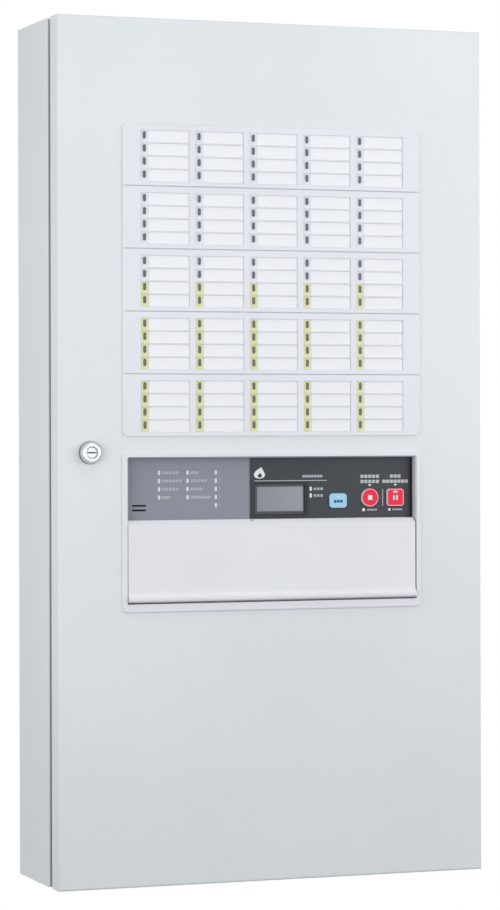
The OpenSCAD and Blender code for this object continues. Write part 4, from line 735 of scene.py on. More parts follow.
finishWindow(windowFinish)

# the jack is dark inside
jackFinish = {"x": 0.124, "z": -0.1104, "bore": 0.0042, "facing": -0.8}


def finishJack(p):
    def inBore(at, normal):
        return math.hypot(at.x - p["x"], at.z - p["z"]) < p["bore"] and normal.y > p["facing"]

    sortFaces(soft["phone_jack"].data, "void", inBore)


finishJack(jackFinish)

# the tray's walls take a greyer copy of the bezel's white, painted shade for the shaded recess walls, and
# the walls of its speaker slots are painted near black, painted shade
trayFinish = {"floor": -0.1462, "right": 0.1684, "left": -0.1704, "top": -0.0066, "edge": -0.3,
              "slotX": (-0.1645, -0.1465), "slotZ": (-0.066, -0.056), "flat": 0.95}


def finishTray(p):
    def onWall(at, normal):
        edge = at.x < p["left"] or at.z > p["top"]
        return at.y < p["floor"] and (at.x > p["right"] or edge and normal.y > p["edge"])

    def inSlot(at, normal):
        return inField(at, p["slotX"], p["slotZ"]) and abs(normal.y) < p["flat"]

    sortFaces(soft["indicator_tray"].data, "wall", onWall)
    # painted shade: the walls of the speaker slots take the near-black cloth finish
    sortFaces(soft["indicator_tray"].data, "void", inSlot)


finishTray(trayFinish)

# the red keys have a white rim
keyRim = {"keys": ("stop_key", "bell_key"), "facing": -0.97}


def finishKeys(p):
    def turnsAway(at, normal):
        return normal.y > p["facing"]

    for name in p["keys"]:
        sortFaces(soft[name].data, "white", turnsAway)


finishKeys(keyRim)
print("lock, boards, tray and keys finished")


class Build(Web):
    family = "GeometryNode"

    def __init__(self, name, inputs):
        self.tree = bpy.data.node_groups.new(name, "GeometryNodeTree")
        sockets = self.tree.interface
        sockets.new_socket("Geometry", in_out="OUTPUT", socket_type="NodeSocketGeometry")
        sockets.new_socket("Geometry", in_out="INPUT", socket_type="NodeSocketGeometry")
        self.keys = {}
        for label, kind in dict(inputs, Finish="Material").items():
            made = sockets.new_socket(label, in_out="INPUT", socket_type="NodeSocket" + kind)
            self.keys[label] = made.identifier
        self.start = self.tree.nodes.new("NodeGroupInput")

    def given(self, label):
        return Flow(self, self.start.outputs[label])

    def vector(self, x=0.0, y=0.0, z=0.0):
        return self.node("CombineXYZ", None, {"X": x, "Y": y, "Z": z})

    def moved(self, operation, first, second):
        return self.node("VectorMath", {"operation": operation}, {0: first, 1: second})

    def line(self, count, start, step):
        return self.node("MeshLine", {"mode": "OFFSET"},
                         {"Count": count, "Start Location": start, "Offset": step})

    def copies(self, points, shape, turn=None):
        sockets = {"Points": points, "Instance": shape}
        if turn:
            sockets["Rotation"] = turn
        return self.node("InstanceOnPoints", None, sockets)

    # points in columns, rows and units
    def grid(self):
        origin = (0.0, 0.0, 0.0)
        rows = self.line(self.given("Rows"), origin, self.vector(z=0 - self.given("Row Step")))
        columns = self.line(self.given("Columns"), origin, self.vector(x=self.given("Column Step")))
        unitStep = self.vector(z=0 - self.given("Unit Step"))
        units = self.line(self.given("Units"), self.given("First"), unitStep)
        field = self.node("RealizeInstances", None, {0: self.copies(columns, rows)})
        field = self.node("RealizeInstances", None, {0: self.copies(units, field)})
        spot = self.node("SeparateXYZ", None, {0: self.node("InputPosition")}, "X")
        drop = self.node("SeparateXYZ", None, {0: self.node("InputPosition")}, "Z")
        short = (spot < self.given("Short Before")) * (drop < self.given("Short Below"))
        return self.node("DeleteGeometry", {"domain": "POINT"}, {"Geometry": field, "Selection": short})

    # mesh grown outwards on the faces chosen, and the faces that are its new top
    def grown(self, mesh, height, chosen=True):
        made = self.node("ExtrudeMesh", None, {"Mesh": mesh, "Selection": chosen, "Offset Scale": height,
                                               "Individual": False})
        return made, Flow(self, made.socket.node.outputs["Top"])

    # closed stud with rounded outline and a chamfered top
    def stud(self):
        outline = self.node("CurvePrimitiveQuadrilateral", None,
                            {"Width": self.given("Width"), "Height": self.given("Height")})
        outline = self.node("FilletCurve", {"mode": "POLY"},
                            {"Curve": outline, "Count": 3, "Radius": self.given("Corner"),
                             "Limit Radius": True})
        foot = self.node("FillCurve", {"mode": "NGONS"}, {"Curve": outline})
        wall, wallTop = self.grown(foot, self.given("Depth") - self.given("Rim"))
        top, topFace = self.grown(wall, self.given("Rim"), wallTop)
        crown = self.node("ScaleElements", None,
                          {"Geometry": top, "Selection": topFace, "Scale": self.given("Crown")})
        under = self.node("FlipFaces", None, {"Mesh": foot})
        whole = self.node("JoinGeometry", None, {0: [crown, under]})
        whole = self.node("MergeByDistance", None, {"Geometry": whole, "Distance": 0.000001})
        facing = self.vector(x=self.given("Facing"))
        return self.node("Transform", None, {"Geometry": whole, "Rotation": facing})

    # smooth route through the points of the host mesh
    def route(self, step):
        curve = self.node("MeshToCurve", None, {"Mesh": self.given("Geometry")})
        curve = self.node("CurveSplineType", {"spline_type": "CATMULL_ROM"}, {"Curve": curve})
        return self.node("ResampleCurve", {"mode": "LENGTH"}, {"Curve": curve, "Length": step})

    def close(self, geometry):
        whole = self.node("RealizeInstances", None, {0: geometry})
        whole = self.node("SetMaterial", None, {"Geometry": whole, "Material": self.given("Finish")})
        end = self.tree.nodes.new("NodeGroupOutput")
        self.tree.links.new(whole.socket, end.inputs[0])
        return self

    # plain piece from the tree, on a host mesh
    def make(self, name, finish, values, points=(), edges=()):
        host = bpy.data.meshes.new(name)
        host.from_pydata(points, edges, [])
        piece = addPiece(name, host)
        modifier = piece.modifiers.new("build", "NODES")
        modifier.node_group = self.tree
        for label, value in dict(values, Finish=finishes[finish]).items():
            modifier[self.keys[label]] = value
        settle(piece)
        return piece


studSizes = dict.fromkeys(("Width", "Height", "Corner", "Depth", "Rim", "Crown", "Facing"), "Float")
gridSizes = {"Columns": "Int", "Rows": "Int", "Units": "Int", "Column Step": "Float", "Row Step": "Float",
             "Unit Step": "Float", "First": "Vector", "Short Before": "Float", "Short Below": "Float"}
facingFront = math.radians(90)
facingBack = -facingFront
# a single stud, with no column cut short
plainGrid = {"Columns": 1, "Rows": 1, "Units": 1, "Column Step": 0.0, "Row Step": 0.0, "Unit Step": 0.0,
             "Short Before": -9.0, "Short Below": -9.0}
plainStud = {"Rim": 0.0002, "Crown": 0.8, "Facing": facingFront}


def makeStudGrid():
    b = Build("stud_grid", gridSizes | studSizes)
    return b.close(b.copies(b.grid(), b.stud()))


def makeStudRow():
    b = Build("studs_on_points", studSizes)
    return b.close(b.copies(b.given("Geometry"), b.stud()))


# wires of one bend on a grid of terminals, colours by a fixed seed
def makeJumpers():
    wireSizes = {"Leave": "Vector", "Arrive": "Vector", "End": "Vector", "Radius": "Float", "Seed": "Int"}
    b = Build("jumper_wires", gridSizes | wireSizes)
    wire = b.node("CurvePrimitiveBezierSegment", None,
                  {"Resolution": 10, "Start": (0.0, 0.0, 0.0), "Start Handle": b.given("Leave"),
                   "End Handle": b.given("Arrive"), "End": b.given("End")})
    ring = b.node("CurvePrimitiveCircle", None, {"Resolution": 6, "Radius": b.given("Radius")})
    wire = b.node("CurveToMesh", None, {"Curve": wire, "Profile Curve": ring, "Fill Caps": True})
    wires = b.copies(b.grid(), wire)
    colour = b.node("FunctionNodeRandomValue", None, {"Seed": b.given("Seed")}, 1)
    wires = b.node("StoreNamedAttribute", {"data_type": "FLOAT", "domain": "INSTANCE"},
                   {"Geometry": wires, "Name": "strand", "Value": colour})
    return b.close(wires)


# strands twisted round a route
def makeStrandTree():
    b = Build("twisted_strands", {"Strands": "Int", "Spread": "Float", "Turns": "Float", "Radius": "Float",
                                  "Step": "Float", "Colour": "Float"})
    curve = b.route(b.given("Step"))
    many = b.node("DuplicateElements", {"domain": "SPLINE"},
                  {"Geometry": curve, "Amount": b.given("Strands")})
    index = Flow(b, many.socket.node.outputs["Duplicate Index"])
    along = b.node("SplineParameter", None, None, "Length")
    angle = (index / b.given("Strands") + along * b.given("Turns")) * (2 * math.pi)
    normal = b.node("InputNormal")
    across = b.moved("CROSS_PRODUCT", b.node("InputTangent"), normal)
    cosine = angle.math("COSINE", angle) * b.given("Spread")
    sine = angle.math("SINE", angle) * b.given("Spread")
    shift = b.node("VectorMath", {"operation": "SCALE"}, {0: normal, "Scale": cosine})
    other = b.node("VectorMath", {"operation": "SCALE"}, {0: across, "Scale": sine})
    many = b.node("SetPosition", None, {"Geometry": many, "Offset": b.moved("ADD", shift, other)})
    colour = (index + 0.5) / b.given("Strands") + b.given("Colour")
    many = b.node("StoreNamedAttribute", {"data_type": "FLOAT", "domain": "POINT"},
                  {"Geometry": many, "Name": "strand", "Value": colour % 1.0})
    ring = b.node("CurvePrimitiveCircle", None, {"Resolution": 8, "Radius": b.given("Radius")})
    return b.close(b.node("CurveToMesh", None, {"Curve": many, "Profile Curve": ring, "Fill Caps": True}))


# ties at even steps along a route
def makeTieTree():
    b = Build("tie_bands", {"Pitch": "Float", "Radius": "Float", "Band": "Float", "Thick": "Float"})
    route = b.route(b.given("Pitch"))
    hoop = b.node("CurvePrimitiveCircle", None, {"Resolution": 16, "Radius": b.given("Radius")})
    strip = b.node("CurvePrimitiveQuadrilateral", None,
                   {"Width": b.given("Thick"), "Height": b.given("Band")})
    band = b.node("CurveToMesh", None, {"Curve": hoop, "Profile Curve": strip})
    turn = b.node("FunctionNodeAlignRotationToVector", {"axis": "Z"}, {"Vector": b.node("InputTangent")})
    return b.close(b.copies(route, band, turn))


studGrid = makeStudGrid()
studRow = makeStudRow()
jumpers = makeJumpers()
strandTree = makeStrandTree()
tieTree = makeTieTree()
print("geometry trees built")

# lamp lenses of the zone windows, one beside each label
zoneGrid = {"Columns": 5, "Rows": 4, "Units": 5, "Column Step": 0.0634, "Row Step": 0.01428,
            "Unit Step": 0.0685}
zoneLamps = dict(zoneGrid, First=(-0.15135, -0.1547, 0.34666), Width=0.0034, Height=0.008, Corner=0.0016,
                 Depth=0.0009, Rim=0.0003)
# status lamps of the grey tray, the last column one longer, and two lamps on the dark panel
smallLamp = {"Width": 0.0028, "Height": 0.005, "Corner": 0.0013, "Depth": 0.0005}
statusLamps = smallLamp | {"Columns": 3, "Rows": 5, "Column Step": 0.033, "Row Step": 0.00905,
                           "First": (-0.1324, -0.146, -0.0225), "Short Before": -0.08,
                           "Short Below": -0.056}
panelLamps = smallLamp | {"Rows": 2, "Row Step": 0.0076, "First": (0.04545, -0.1472, -0.0415)}


def addStuds(name, finish, sizes, body, replaced=None):
    piece = studGrid.make(name, finish, plainGrid | plainStud | sizes)
    seat(piece, body)
    if replaced:
        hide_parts(replaced)


def addStudsAt(points, name, finish, sizes, body):
    piece = studRow.make(name, finish, plainStud | sizes, points)
    seat(piece, body)


addStuds("zone_lamp_lenses", "lens", zoneLamps, "door", "zone_lenses")
addStuds("tray_lamp_lenses", "dot", statusLamps, "door", "status_lenses")
addStuds("panel_lamp_lenses", "dot", panelLamps, "door", "status_lenses")
print("lamp lenses set")

# thickness of printed marks, in millimetres
ink = 0.05


# outline of a rounded rectangle, anticlockwise seen from the front, in millimetres
def rounded(x, z, width, height, corner, steps=6):
    points = []
    middles = [(1, 1), (-1, 1), (-1, -1), (1, -1)]
    for quarter, (sx, sz) in enumerate(middles):
        for step in range(steps + 1):
            angle = (quarter + step / steps) * math.pi / 2
            points.append((x + sx * (width / 2 - corner) + corner * math.cos(angle),
                           z + sz * (height / 2 - corner) + corner * math.sin(angle)))
    return points


# thin closed plate or ring on a front plane, in millimetres
def addPlate(work, outline, front, lift=ink, hole=None):
    def loop(points, y):
        return [work.verts.new((x / 1000, y / 1000, z / 1000)) for x, z in points]

    count = len(outline)
    near = loop(outline, front - lift)
    far = loop(outline, front)
    for i in range(count):
        j = (i + 1) % count
        work.faces.new((near[i], far[i], far[j], near[j]))
    if hole:
        nearHole = loop(hole, front - lift)
        farHole = loop(hole, front)
        for i in range(count):
            j = (i + 1) % count
            work.faces.new((near[i], near[j], nearHole[j], nearHole[i]))
            work.faces.new((far[j], far[i], farHole[i], farHole[j]))
            work.faces.new((nearHole[i], nearHole[j], farHole[j], farHole[i]))
    else:
        work.faces.new(near)
        work.faces.new(far[::-1])


def closeMarks(work, name, finish, body):
    bmesh.ops.recalc_face_normals(work, faces=work.faces)
    mesh = bpy.data.meshes.new(name)
    work.to_mesh(mesh)
    work.free()
    piece = addPiece(name, mesh, finish)
    seat(piece, body)


def printMarks(name, finish, plates, body="door"):
    work = bmesh.new()
    for plate in plates:
        addPlate(work, *plate)
    closeMarks(work, name, finish, body)


# generic figures: made a mesh first, then stood up on the front plane
def printFigures(name, finish, figures, front, height, body="door"):
    work = bmesh.new()
    for text, x, z in figures:
        curve = bpy.data.curves.new("figure", "FONT")
        curve.body = text
        curve.size = height * 1.4  # capitals are about 0.7 of the size
        curve.align_x = "CENTER"
        curve.align_y = "CENTER"
        curve.resolution_u = 3
        holder = addPiece("figure", curve)
        flat = plainMesh(holder)
        bpy.data.objects.remove(holder)
        flat.transform(Matrix.Translation((x, front - ink, z)) @ upright)
        flat.transform(Matrix.Scale(0.001, 4))
        work.from_mesh(flat)
    grown = bmesh.ops.extrude_face_region(work, geom=work.faces[:])
    lifted = [v for v in grown["geom"] if isinstance(v, bmesh.types.BMVert)]
    bmesh.ops.translate(work, verts=lifted, vec=(0, ink / 1000, 0))
    closeMarks(work, name, finish, body)


# a label's block as shares of its height
labelBlock = {"pitch": 1.22, "width": 1.04, "corner": 0.16, "rim": 0.00002, "crown": 0.98}


# rows of soft blocks where labels go: left end, height on the panel, length
def printLabels(name, finish, rows, front, tall, body="door"):
    points = []
    for x, z, length in rows:
        count = max(1, round(length / (tall * labelBlock["pitch"])))
        pitch = length / count
        points += [((x + (i + 0.5) * pitch) / 1000, front / 1000, z / 1000) for i in range(count)]
    sizes = {"Width": tall * labelBlock["width"] / 1000, "Height": tall / 1000,
             "Corner": tall * labelBlock["corner"] / 1000, "Depth": ink / 1000,
             "Rim": labelBlock["rim"], "Crown": labelBlock["crown"]}
    addStudsAt(points, name, finish, sizes, body)


# marks of the dark panel, in millimetres: outlines as middle, width, height and corner
panelPrint = {"front": -147.2, "arrows": [(116.6, -38.3), (147.6, -38.3)], "arrow": (2.1, 1.2, 1.3),
              "separator": (132.2, -52.0, 0.75, 18.8, 0.2), "rule": (21.6, -32.3, 86.4, 0.8, 0.2),
              "round": (109.1, -65.7, 3.6, 3.6, 1.8), "square": (140.3, -65.7, 2.7, 2.7, 0.2),
              "flame": (-15.4, -23.4, 8.6, 6.3), "hollow": (-15.0, -26.046, 3.44, 2.646),
              "headings": [(104.9, -28.2, 23.4), (104.9, -34.0, 23.4), (140.8, -28.2, 13.6),
                           (131.6, -34.0, 31.7)],
              "small": [(35.4, -27.5, 24.4), (48.6, -41.7, 11.9), (48.6, -49.2, 11.9)],
              "lowest": [(113.3, -65.7, 12.1), (143.9, -65.7, 12.2)],
              "headingTall": 3.7, "smallTall": 2.9, "lowestTall": 2.0}


# drop with a leaning tip
def flameOutline(x, z, wide, tall, lean=0.28, swell=1.1, steps=40):
    points = []
    for step in range(steps):
        angle = 2 * math.pi * step / steps
        up = math.cos(angle)
        side = -math.sin(angle) * abs(math.sin(angle / 2)) ** swell
        points.append((x + wide * side + wide * lean * max(0.0, up) ** 2, z + tall * up))
    return points


def printPanel(p):
    y = p["front"]
    white = [(flameOutline(*p["flame"]), y, ink, flameOutline(*p["hollow"]))]
    half, up, down = p["arrow"]
    for x, z in p["arrows"]:
        white.append(([(x + half, z + up), (x - half, z + up), (x, z - down)], y))
    white.append((rounded(*p["round"]), y))
    white.append((rounded(*p["square"], steps=2), y))
    printMarks("panel_marks", "white", white)
    rules = [(rounded(*p[rule], steps=2), y) for rule in ("separator", "rule")]
    printMarks("panel_rules", "rule", rules)
    printLabels("panel_headings", "rule", p["headings"], y, p["headingTall"])
    printLabels("panel_small_labels", "label", p["small"], y, p["smallTall"])
    printLabels("panel_lowest_labels", "label", p["lowest"], y, p["lowestTall"])


printPanel(panelPrint)

# yellow film carried over the ribs between marked rows, in millimetres: lowest rib and number of ribs
filmBridges = {"front": -156.2, "x": 1000 * zoneLamps["First"][0], "step": 1000 * zoneGrid["Column Step"],
               "columns": zoneGrid["Columns"], "rise": 1000 * zoneGrid["Row Step"],
               "size": (8.8, 0.9, 0.2), "ribs": [(172.96, 1), (104.46, 3), (35.96, 3)]}


def bridgeMarkers(p):
    plates = []
    for low, count in p["ribs"]:
        for row in range(count):
            for column in range(p["columns"]):
                x = p["x"] + column * p["step"]
                z = low + row * p["rise"]
                plates.append((rounded(x, z, *p["size"], steps=2), p["front"]))
    printMarks("marker_bridges", "yellow", plates, "door")


bridgeMarkers(filmBridges)

# marks on the keys, and painted shade on the lock, in millimetres: middles, then outlines as width, height
# and corner, with the steps of a corner where it is large
keyPrint = {"front": -149.2, "stop": (116.25, -52.0), "bell": (147.0, -52.0), "guide": (77.7, -55.0),
            "stopRing": (19.5, 19.5, 9.75, 12), "stopHole": (18.5, 18.5, 9.25, 12),
            "stopSquare": (5.2, 5.2, 0.4), "bellRing": (19.5, 18.6, 3.0), "bellHole": (18.5, 17.6, 2.5),
            "bellTop": (5.4, 1.9, 0.5), "bellRise": 6.3, "bellBar": (2.0, 5.4, 0.3), "barAside": 1.9,
            "barDrop": 0.2, "guideDot": (4.4, 2.0, 0.9), "dotRise": 4.4, "guideLabel": (-5.6, -0.8, 11.2),
            "labelTall": 3.1, "plug": (-214.0, 0.0), "plugFront": -161.6, "slotEnd": (1.7, 1.3, 0.3),
            "endAside": 4.8, "endLift": 0.02}


def printKeys(p):
    y = p["front"]
    x, z = p["stop"]
    ring = (rounded(x, z, *p["stopRing"]), y, ink, rounded(x, z, *p["stopHole"]))
    square = (rounded(x, z, *p["stopSquare"]), y)
    printMarks("stop_key_marks", "white", [ring, square], "stop_key")
    x, z = p["bell"]
    ring = (rounded(x, z, *p["bellRing"]), y, ink, rounded(x, z, *p["bellHole"]))
    top = (rounded(x, z + p["bellRise"], *p["bellTop"]), y)
    bars = [(rounded(x + s * p["barAside"], z - p["barDrop"], *p["bellBar"]), y) for s in (-1, 1)]
    printMarks("bell_key_marks", "white", [ring, top] + bars, "bell_key")
    x, z = p["guide"]
    dot = (rounded(x, z + p["dotRise"], *p["guideDot"]), y)
    printMarks("guide_key_dot", "paleBlue", [dot], "guide_key")
    left, drop, length = p["guideLabel"]
    label = (x + left, z + drop, length)
    printLabels("guide_key_label", "blueInk", [label], y, p["labelTall"], "guide_key")
    # painted shade: grey plates at both ends of the key slot draw the dark slot longer
    x, z = p["plug"]
    ends = [rounded(x + s * p["endAside"], z, *p["slotEnd"]) for s in (-1, 1)]
    plates = [(end, p["plugFront"], p["endLift"]) for end in ends]
    printMarks("lock_slot_shade_ends", "steelInkAndSlotShade", plates, "lock")


printKeys(keyPrint)

# marks of the grey tray, in millimetres
trayPrint = {"front": -146.0, "top": -22.5, "pitch": 9.05, "tall": 3.0,
             "first": (-129.1, [19.4, 23.5, 19.4, 9.9]), "second": (-96.1, [9.5, 19.4, 14.4, 24.0]),
             "figures": -61.9, "figureCount": 5}


def printTray(p):
    rows = []
    for x, lengths in (p["first"], p["second"]):
        rows += [(x, p["top"] - p["pitch"] * k, length) for k, length in enumerate(lengths)]
    printLabels("tray_labels", "label", rows, p["front"], p["tall"])
    figures = [(str(k + 1), p["figures"], p["top"] - p["pitch"] * k) for k in range(p["figureCount"])]
    printFigures("tray_figures", "label", figures, p["front"], p["tall"])


printTray(trayPrint)

# marks of the deck under the flap, in millimetres: dial ticks and figures, on and off, key labels
deckPrint = {"front": -146.0, "dial": (49.0, -110.4), "ticks": (16.0, 18.0), "tickHalf": 0.3, "ring": 21.0,
             "positions": 5, "sweep": 300.0, "slide": (-31.0, -110.4), "off": -15.0, "on": 14.0,
             "labels": [(-134.0, -124.5, 16.0), (-94.0, -124.5, 16.0), (-39.0, -124.5, 16.0),
                        (117.0, -124.5, 14.0)],
             "figureTall": 3.8, "labelTall": 2.8, "pointer": (3.0, 8.6), "pointerWidth": 1.2,
             "pointerCorner": 0.4, "dialFront": -151.7}


def printDeck(p):
    y = p["front"]
    x, z = p["dial"]
    middle = Vector((x, z))
    ticks = []
    figures = []
    for k in range(p["positions"]):
        angle = math.radians(90 + p["sweep"] / 2 - k * p["sweep"] / (p["positions"] - 1))
        along = Vector((math.cos(angle), math.sin(angle)))
        aside = Vector((-along.y, along.x)) * p["tickHalf"]
        low, high = [middle + along * radius for radius in p["ticks"]]
        corners = (low - aside, high - aside, high + aside, low + aside)
        ticks.append(([tuple(corner) for corner in corners], y))
        spot = middle + along * p["ring"]
        figures.append((str(k + 1), spot.x, spot.y))
    low, high = p["pointer"]
    line = rounded(x, z + (low + high) / 2, p["pointerWidth"], high - low, p["pointerCorner"])
    printMarks("dial_pointer", "white", [(line, p["dialFront"])], "zone_dial")
    x, z = p["slide"]
    figures += [("OFF", x + p["off"], z), ("ON", x + p["on"], z)]
    printMarks("deck_ticks", "darkInk", ticks)
    printFigures("deck_figures", "darkInk", figures, y, p["figureTall"])
    printLabels("deck_labels", "steelInkAndSlotShade", p["labels"], y, p["labelTall"])


printDeck(deckPrint)
print("marks printed")

# loom between the box and the door, in millimetres, laid as the CAD's tube is
loom = {"points": [(150, -43.6, 254), (164, -43.6, 254), (181, -48, 251), (197, -58, 245), (208, -73, 235),
                   (213, -91, 220), (212, -109, 202), (207, -125, 181), (199, -138, 158),
                   (186.8, -145.6, 136), (179.8, -147.6, 112), (175.8, -147.6, 84), (175.8, -147.6, 54),
                   (175.8, -145.6, 30), (176.8, -137.6, 8), (176.8, -124.4, -10), (169.8, -111.4, -22),
                   (159, -100.4, -32), (146, -98.4, -40), (140, -105.4, -44), (139, -114.4, -45),
                   (139, -123.0, -45)],
        "strands": {"Strands": 7, "Spread": 0.0031, "Turns": 9.0, "Radius": 0.00136, "Step": 0.004,
                    "Colour": 0.0},
        "tie": {"Pitch": 0.062, "Radius": 0.0046, "Band": 0.0026, "Thick": 0.0008},
        "start": (0.213, -0.091, 0.220), "end": (0.199, -0.138, 0.158)}


def layRoute(tree, name, finish, points, values):
    path = [(x / 1000, y / 1000, z / 1000) for x, y, z in points]
    return tree.make(name, finish, values, path, [(i, i + 1) for i in range(len(path) - 1)])


def layLoom(p):
    strands = layRoute(strandTree, "loom_strands", "strands", p["points"], p["strands"])
    ties = layRoute(tieTree, "loom_ties", "black", p["points"][1:-2], p["tie"])
    for piece in (strands, ties):
        piece.data.shade_smooth()
        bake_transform(piece)
    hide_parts("door_loom")


layLoom(loom)
print("loom laid")

# parts on the boards in the box, and the backs of the zone boards on the door
lineCans = {"Columns": 9, "Rows": 3, "Column Step": 0.027, "Row Step": 0.028,
            "First": (-0.108, -0.0352, 0.183), "Width": 0.007, "Height": 0.007, "Corner": 0.0035,
            "Depth": 0.0105, "Rim": 0.0005, "Crown": 0.86}
lineParts = {"Columns": 10, "Rows": 2, "Column Step": 0.027, "Row Step": 0.028,
             "First": (-0.1215, -0.0352, 0.169), "Width": 0.009, "Height": 0.0028, "Corner": 0.0012,
             "Depth": 0.0026, "Rim": 0.0006}
relayCans = {"Columns": 7, "Rows": 2, "Column Step": 0.03375, "Row Step": 0.027,
             "First": (-0.10125, -0.0352, 0.0495), "Width": 0.009, "Height": 0.009, "Corner": 0.0045,
             "Depth": 0.0125, "Rim": 0.0006, "Crown": 0.88}
lampSolder = dict(zoneGrid, First=(-0.15135, -0.1414, 0.34666), Width=0.0026, Height=0.0026, Corner=0.0013,
                  Depth=0.0008, Rim=0.0005, Crown=0.5, Facing=facingBack)
boardSockets = {"Units": zoneGrid["Units"], "Unit Step": zoneGrid["Unit Step"],
                "First": (0.03, -0.1414, 0.32545), "Width": 0.036, "Height": 0.009, "Corner": 0.0008,
                "Depth": 0.0085, "Rim": 0.0008, "Crown": 0.9, "Facing": facingBack}
addStuds("line_board_cans", "can", lineCans, "cabinet")
addStuds("line_board_parts", "chip", lineParts, "cabinet")
addStuds("relay_board_cans", "can", relayCans, "cabinet")
addStuds("lamp_solder", "solder", lampSolder, "door")
addStuds("zone_board_sockets", "switch", boardSockets, "door")

# short wires from the lower terminals into the upper duct, and from the ducts to the two boards
stripWires = {"Columns": 24, "Column Step": 0.0125, "First": (-0.14375, -0.0346, 0.3005),
              "Leave": (0.0, 0.0, -0.012), "Arrive": (0.002, -0.013, -0.012),
              "End": (0.002, -0.013, -0.031), "Radius": 0.0011, "Seed": 4}
boardWires = {"Columns": 14, "Column Step": 0.02143, "First": (-0.1393, -0.05, 0.236),
              "Leave": (0.0, 0.0, -0.012), "Arrive": (0.0, 0.008, -0.016), "End": (0.0, 0.0135, -0.029),
              "Radius": 0.0011, "Seed": 9}
relayWires = dict(boardWires, First=(-0.1393, -0.05, -0.030), Leave=(0.0, 0.0, 0.012),
                  Arrive=(0.0, 0.008, 0.016), End=(0.0, 0.0135, 0.029), Seed=14)


def addWires(name, sizes):
    piece = jumpers.make(name, "strands", plainGrid | sizes)
    piece.data.shade_smooth()
    seat(piece, "cabinet")


addWires("terminal_wires", stripWires)
addWires("board_wires", boardWires)
addWires("relay_wires", relayWires)

# single leads in millimetres, each with its place on the ramp of strand colours:
# battery to supply, battery to battery, switch to transformer, transformer to supply
leads = {
    "battery_plus_lead": (0.02, [(-77, -55.1, -238), (-77, -55.1, -227), (-80, -54, -217), (-98, -51, -209),
                                 (-116, -50, -206), (-120, -50, -200)]),
    "battery_minus_lead": (0.2, [(77, -55.1, -238), (77, -55.1, -229), (70, -55, -219), (40, -54, -214),
                                 (0, -53, -213), (-35, -51, -212), (-55, -50, -208), (-58, -50, -200)]),
    "battery_link": (0.02, [(-33, -55.1, -238), (-33, -55.1, -229), (-20, -56, -222.5), (0, -56.5, -221),
                            (20, -56, -222.5), (33, -55.1, -229), (33, -55.1, -238)]),
    "mains_lead": (0.2, [(152, -50, -184), (152, -50, -195), (143, -49, -203), (120, -47, -206),
                         (92, -46, -204), (74, -45, -198), (68, -45, -188)]),
    "mains_lead_2": (0.55, [(158, -50, -184), (158, -50, -198), (147, -49, -208), (120, -47, -211),
                            (88, -46, -209), (64, -45, -200), (58, -45, -188)]),
    "supply_lead": (0.72, [(28, -45, -106), (28, -46, -98), (18, -47, -91), (0, -48, -89), (-14, -48, -93),
                           (-20, -48, -101), (-28, -48, -106)]),
}
leadSize = {"Strands": 1, "Spread": 0.0, "Turns": 0.0, "Radius": 0.0014, "Step": 0.003}


def layLeads(routes, sizes):
    for name, (colour, points) in routes.items():
        lead = layRoute(strandTree, name, "strands", points, dict(sizes, Colour=(colour - 0.5) % 1.0))
        lead.data.shade_smooth()
        seat(lead, "cabinet")


layLeads(leads, leadSize)

# boots on the battery posts, and the plug where the loom ends on the control board
batteryBoots = {"Width": 0.0085, "Height": 0.0115, "Corner": 0.002, "Depth": 0.0048, "Rim": 0.0008,
                "Crown": 0.85}
bootPlaces = [(x, -0.0528, -0.2365) for x in (-0.077, -0.033, 0.033, 0.077)]
loomPlug = {"Width": 0.0155, "Height": 0.0155, "Corner": 0.0015, "Depth": 0.008, "Rim": 0.001,
            "Crown": 0.85, "Facing": facingBack}
plugPlace = (0.139, -0.1233, -0.045)
addStudsAt(bootPlaces, "battery_boots", "rubber", batteryBoots, "cabinet")
addStudsAt([plugPlace], "loom_plug", "switch", loomPlug, "door")
print("inside wired")

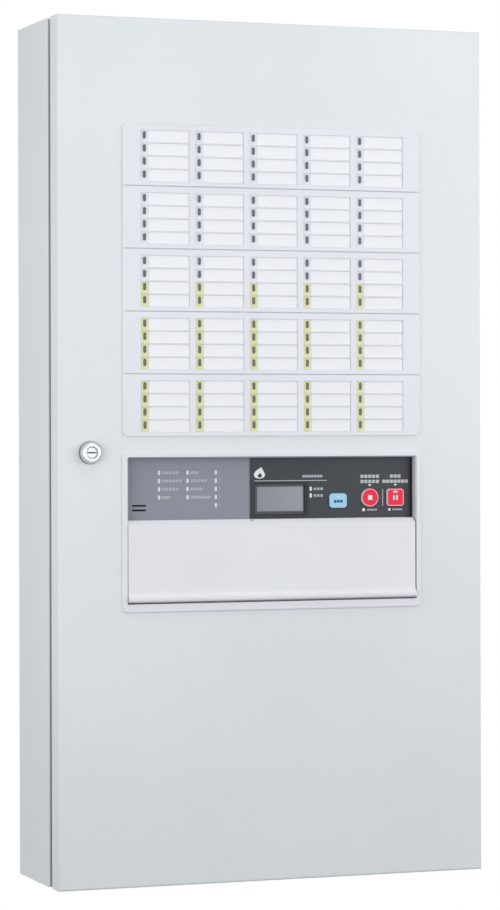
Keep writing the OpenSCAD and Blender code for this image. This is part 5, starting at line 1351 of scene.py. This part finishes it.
# studio: a pale floor, an even sky and soft lamps
studio = {"floorZ": -0.85, "floorSize": 30.0, "floorColour": (0.55, 0.55, 0.55, 1.0), "floorNear": 0.75,
          "fade": (0.9, 1.8), "sky": 0.5, "skyColour": (0.97, 0.985, 1.0, 1.0)}
white = (1.0, 1.0, 1.0, 1.0)
lamps = {
    "rightBox": {"place": (1.3, -1.3, 0.35), "aim": (0.0, -0.1, 1.0), "size": 1.1, "power": 13.6},
    "leftBox": {"place": (-1.2, -0.9, 0.1), "aim": (-0.2, -0.1, 0.9), "size": 1.1, "power": 9.8},
    "topBox": {"place": (0.3, -1.0, 2.0), "aim": (0.0, -0.15, 0.0), "size": 1.0, "power": 7.6},
    "backBox": {"place": (0.4, 2.1, 0.3), "aim": (0.0, 0.0, 0.1), "size": 1.6, "power": 22.0},
}


# the floor looks white to the eye, a little less so under the object, and lights the object as grey
def makeFloor(p):
    mesh = bpy.data.meshes.new("floor")
    half = p["floorSize"] / 2
    corners = [(-half, -half), (half, -half), (half, half), (-half, half)]
    mesh.from_pydata([(x, y, p["floorZ"]) for x, y in corners], [], [(0, 1, 2, 3)])
    floor = addPiece("floor", mesh)
    f = Finish("pale_floor")
    reach = f.node("VectorMath", {"operation": "LENGTH"}, {0: f.place}, "Value")
    away = f.between(reach, *p["fade"])
    share = f.between(f.seen(), 0.0, 1.0) * (p["floorNear"] + away * (1 - p["floorNear"]))
    plain = f.node("BsdfDiffuse", None, {"Color": p["floorColour"]})
    bright = f.node("Emission", None, {"Color": white, "Strength": 1.0})
    shader = f.node("MixShader", None, {0: share, 1: plain, 2: bright})
    f.node("OutputMaterial", None, {"Surface": shader})
    mesh.materials.append(f.material)


class Sky(Web):
    def __init__(self, name):
        scene.world = bpy.data.worlds.new(name)
        scene.world.use_nodes = True
        self.tree = scene.world.node_tree
        self.tree.nodes.clear()


def makeSky(p):
    s = Sky("studio")
    even = s.node("Background", None, {"Color": p["skyColour"], "Strength": p["sky"]})
    bright = s.node("Background", None, {"Color": white, "Strength": 1.0})
    shader = s.node("MixShader", None, {0: s.seen(), 1: even, 2: bright})
    s.node("OutputWorld", None, {"Surface": shader})


def hangLamp(name, p):
    lamp = bpy.data.lights.new(name, "AREA")
    lamp.shape = "SQUARE"
    lamp.size = p["size"]
    lamp.energy = p["power"]
    holder = bpy.data.objects.new(name, lamp)
    aim = Vector(p["aim"]) - Vector(p["place"])
    turn = aim.to_track_quat("-Z", "Y").to_matrix().to_4x4()
    holder.matrix_world = Matrix.Translation(p["place"]) @ turn
    scene.collection.objects.link(holder)


makeFloor(studio)
makeSky(studio)
for name, lamp in lamps.items():
    hangLamp(name, lamp)
print("studio lit")
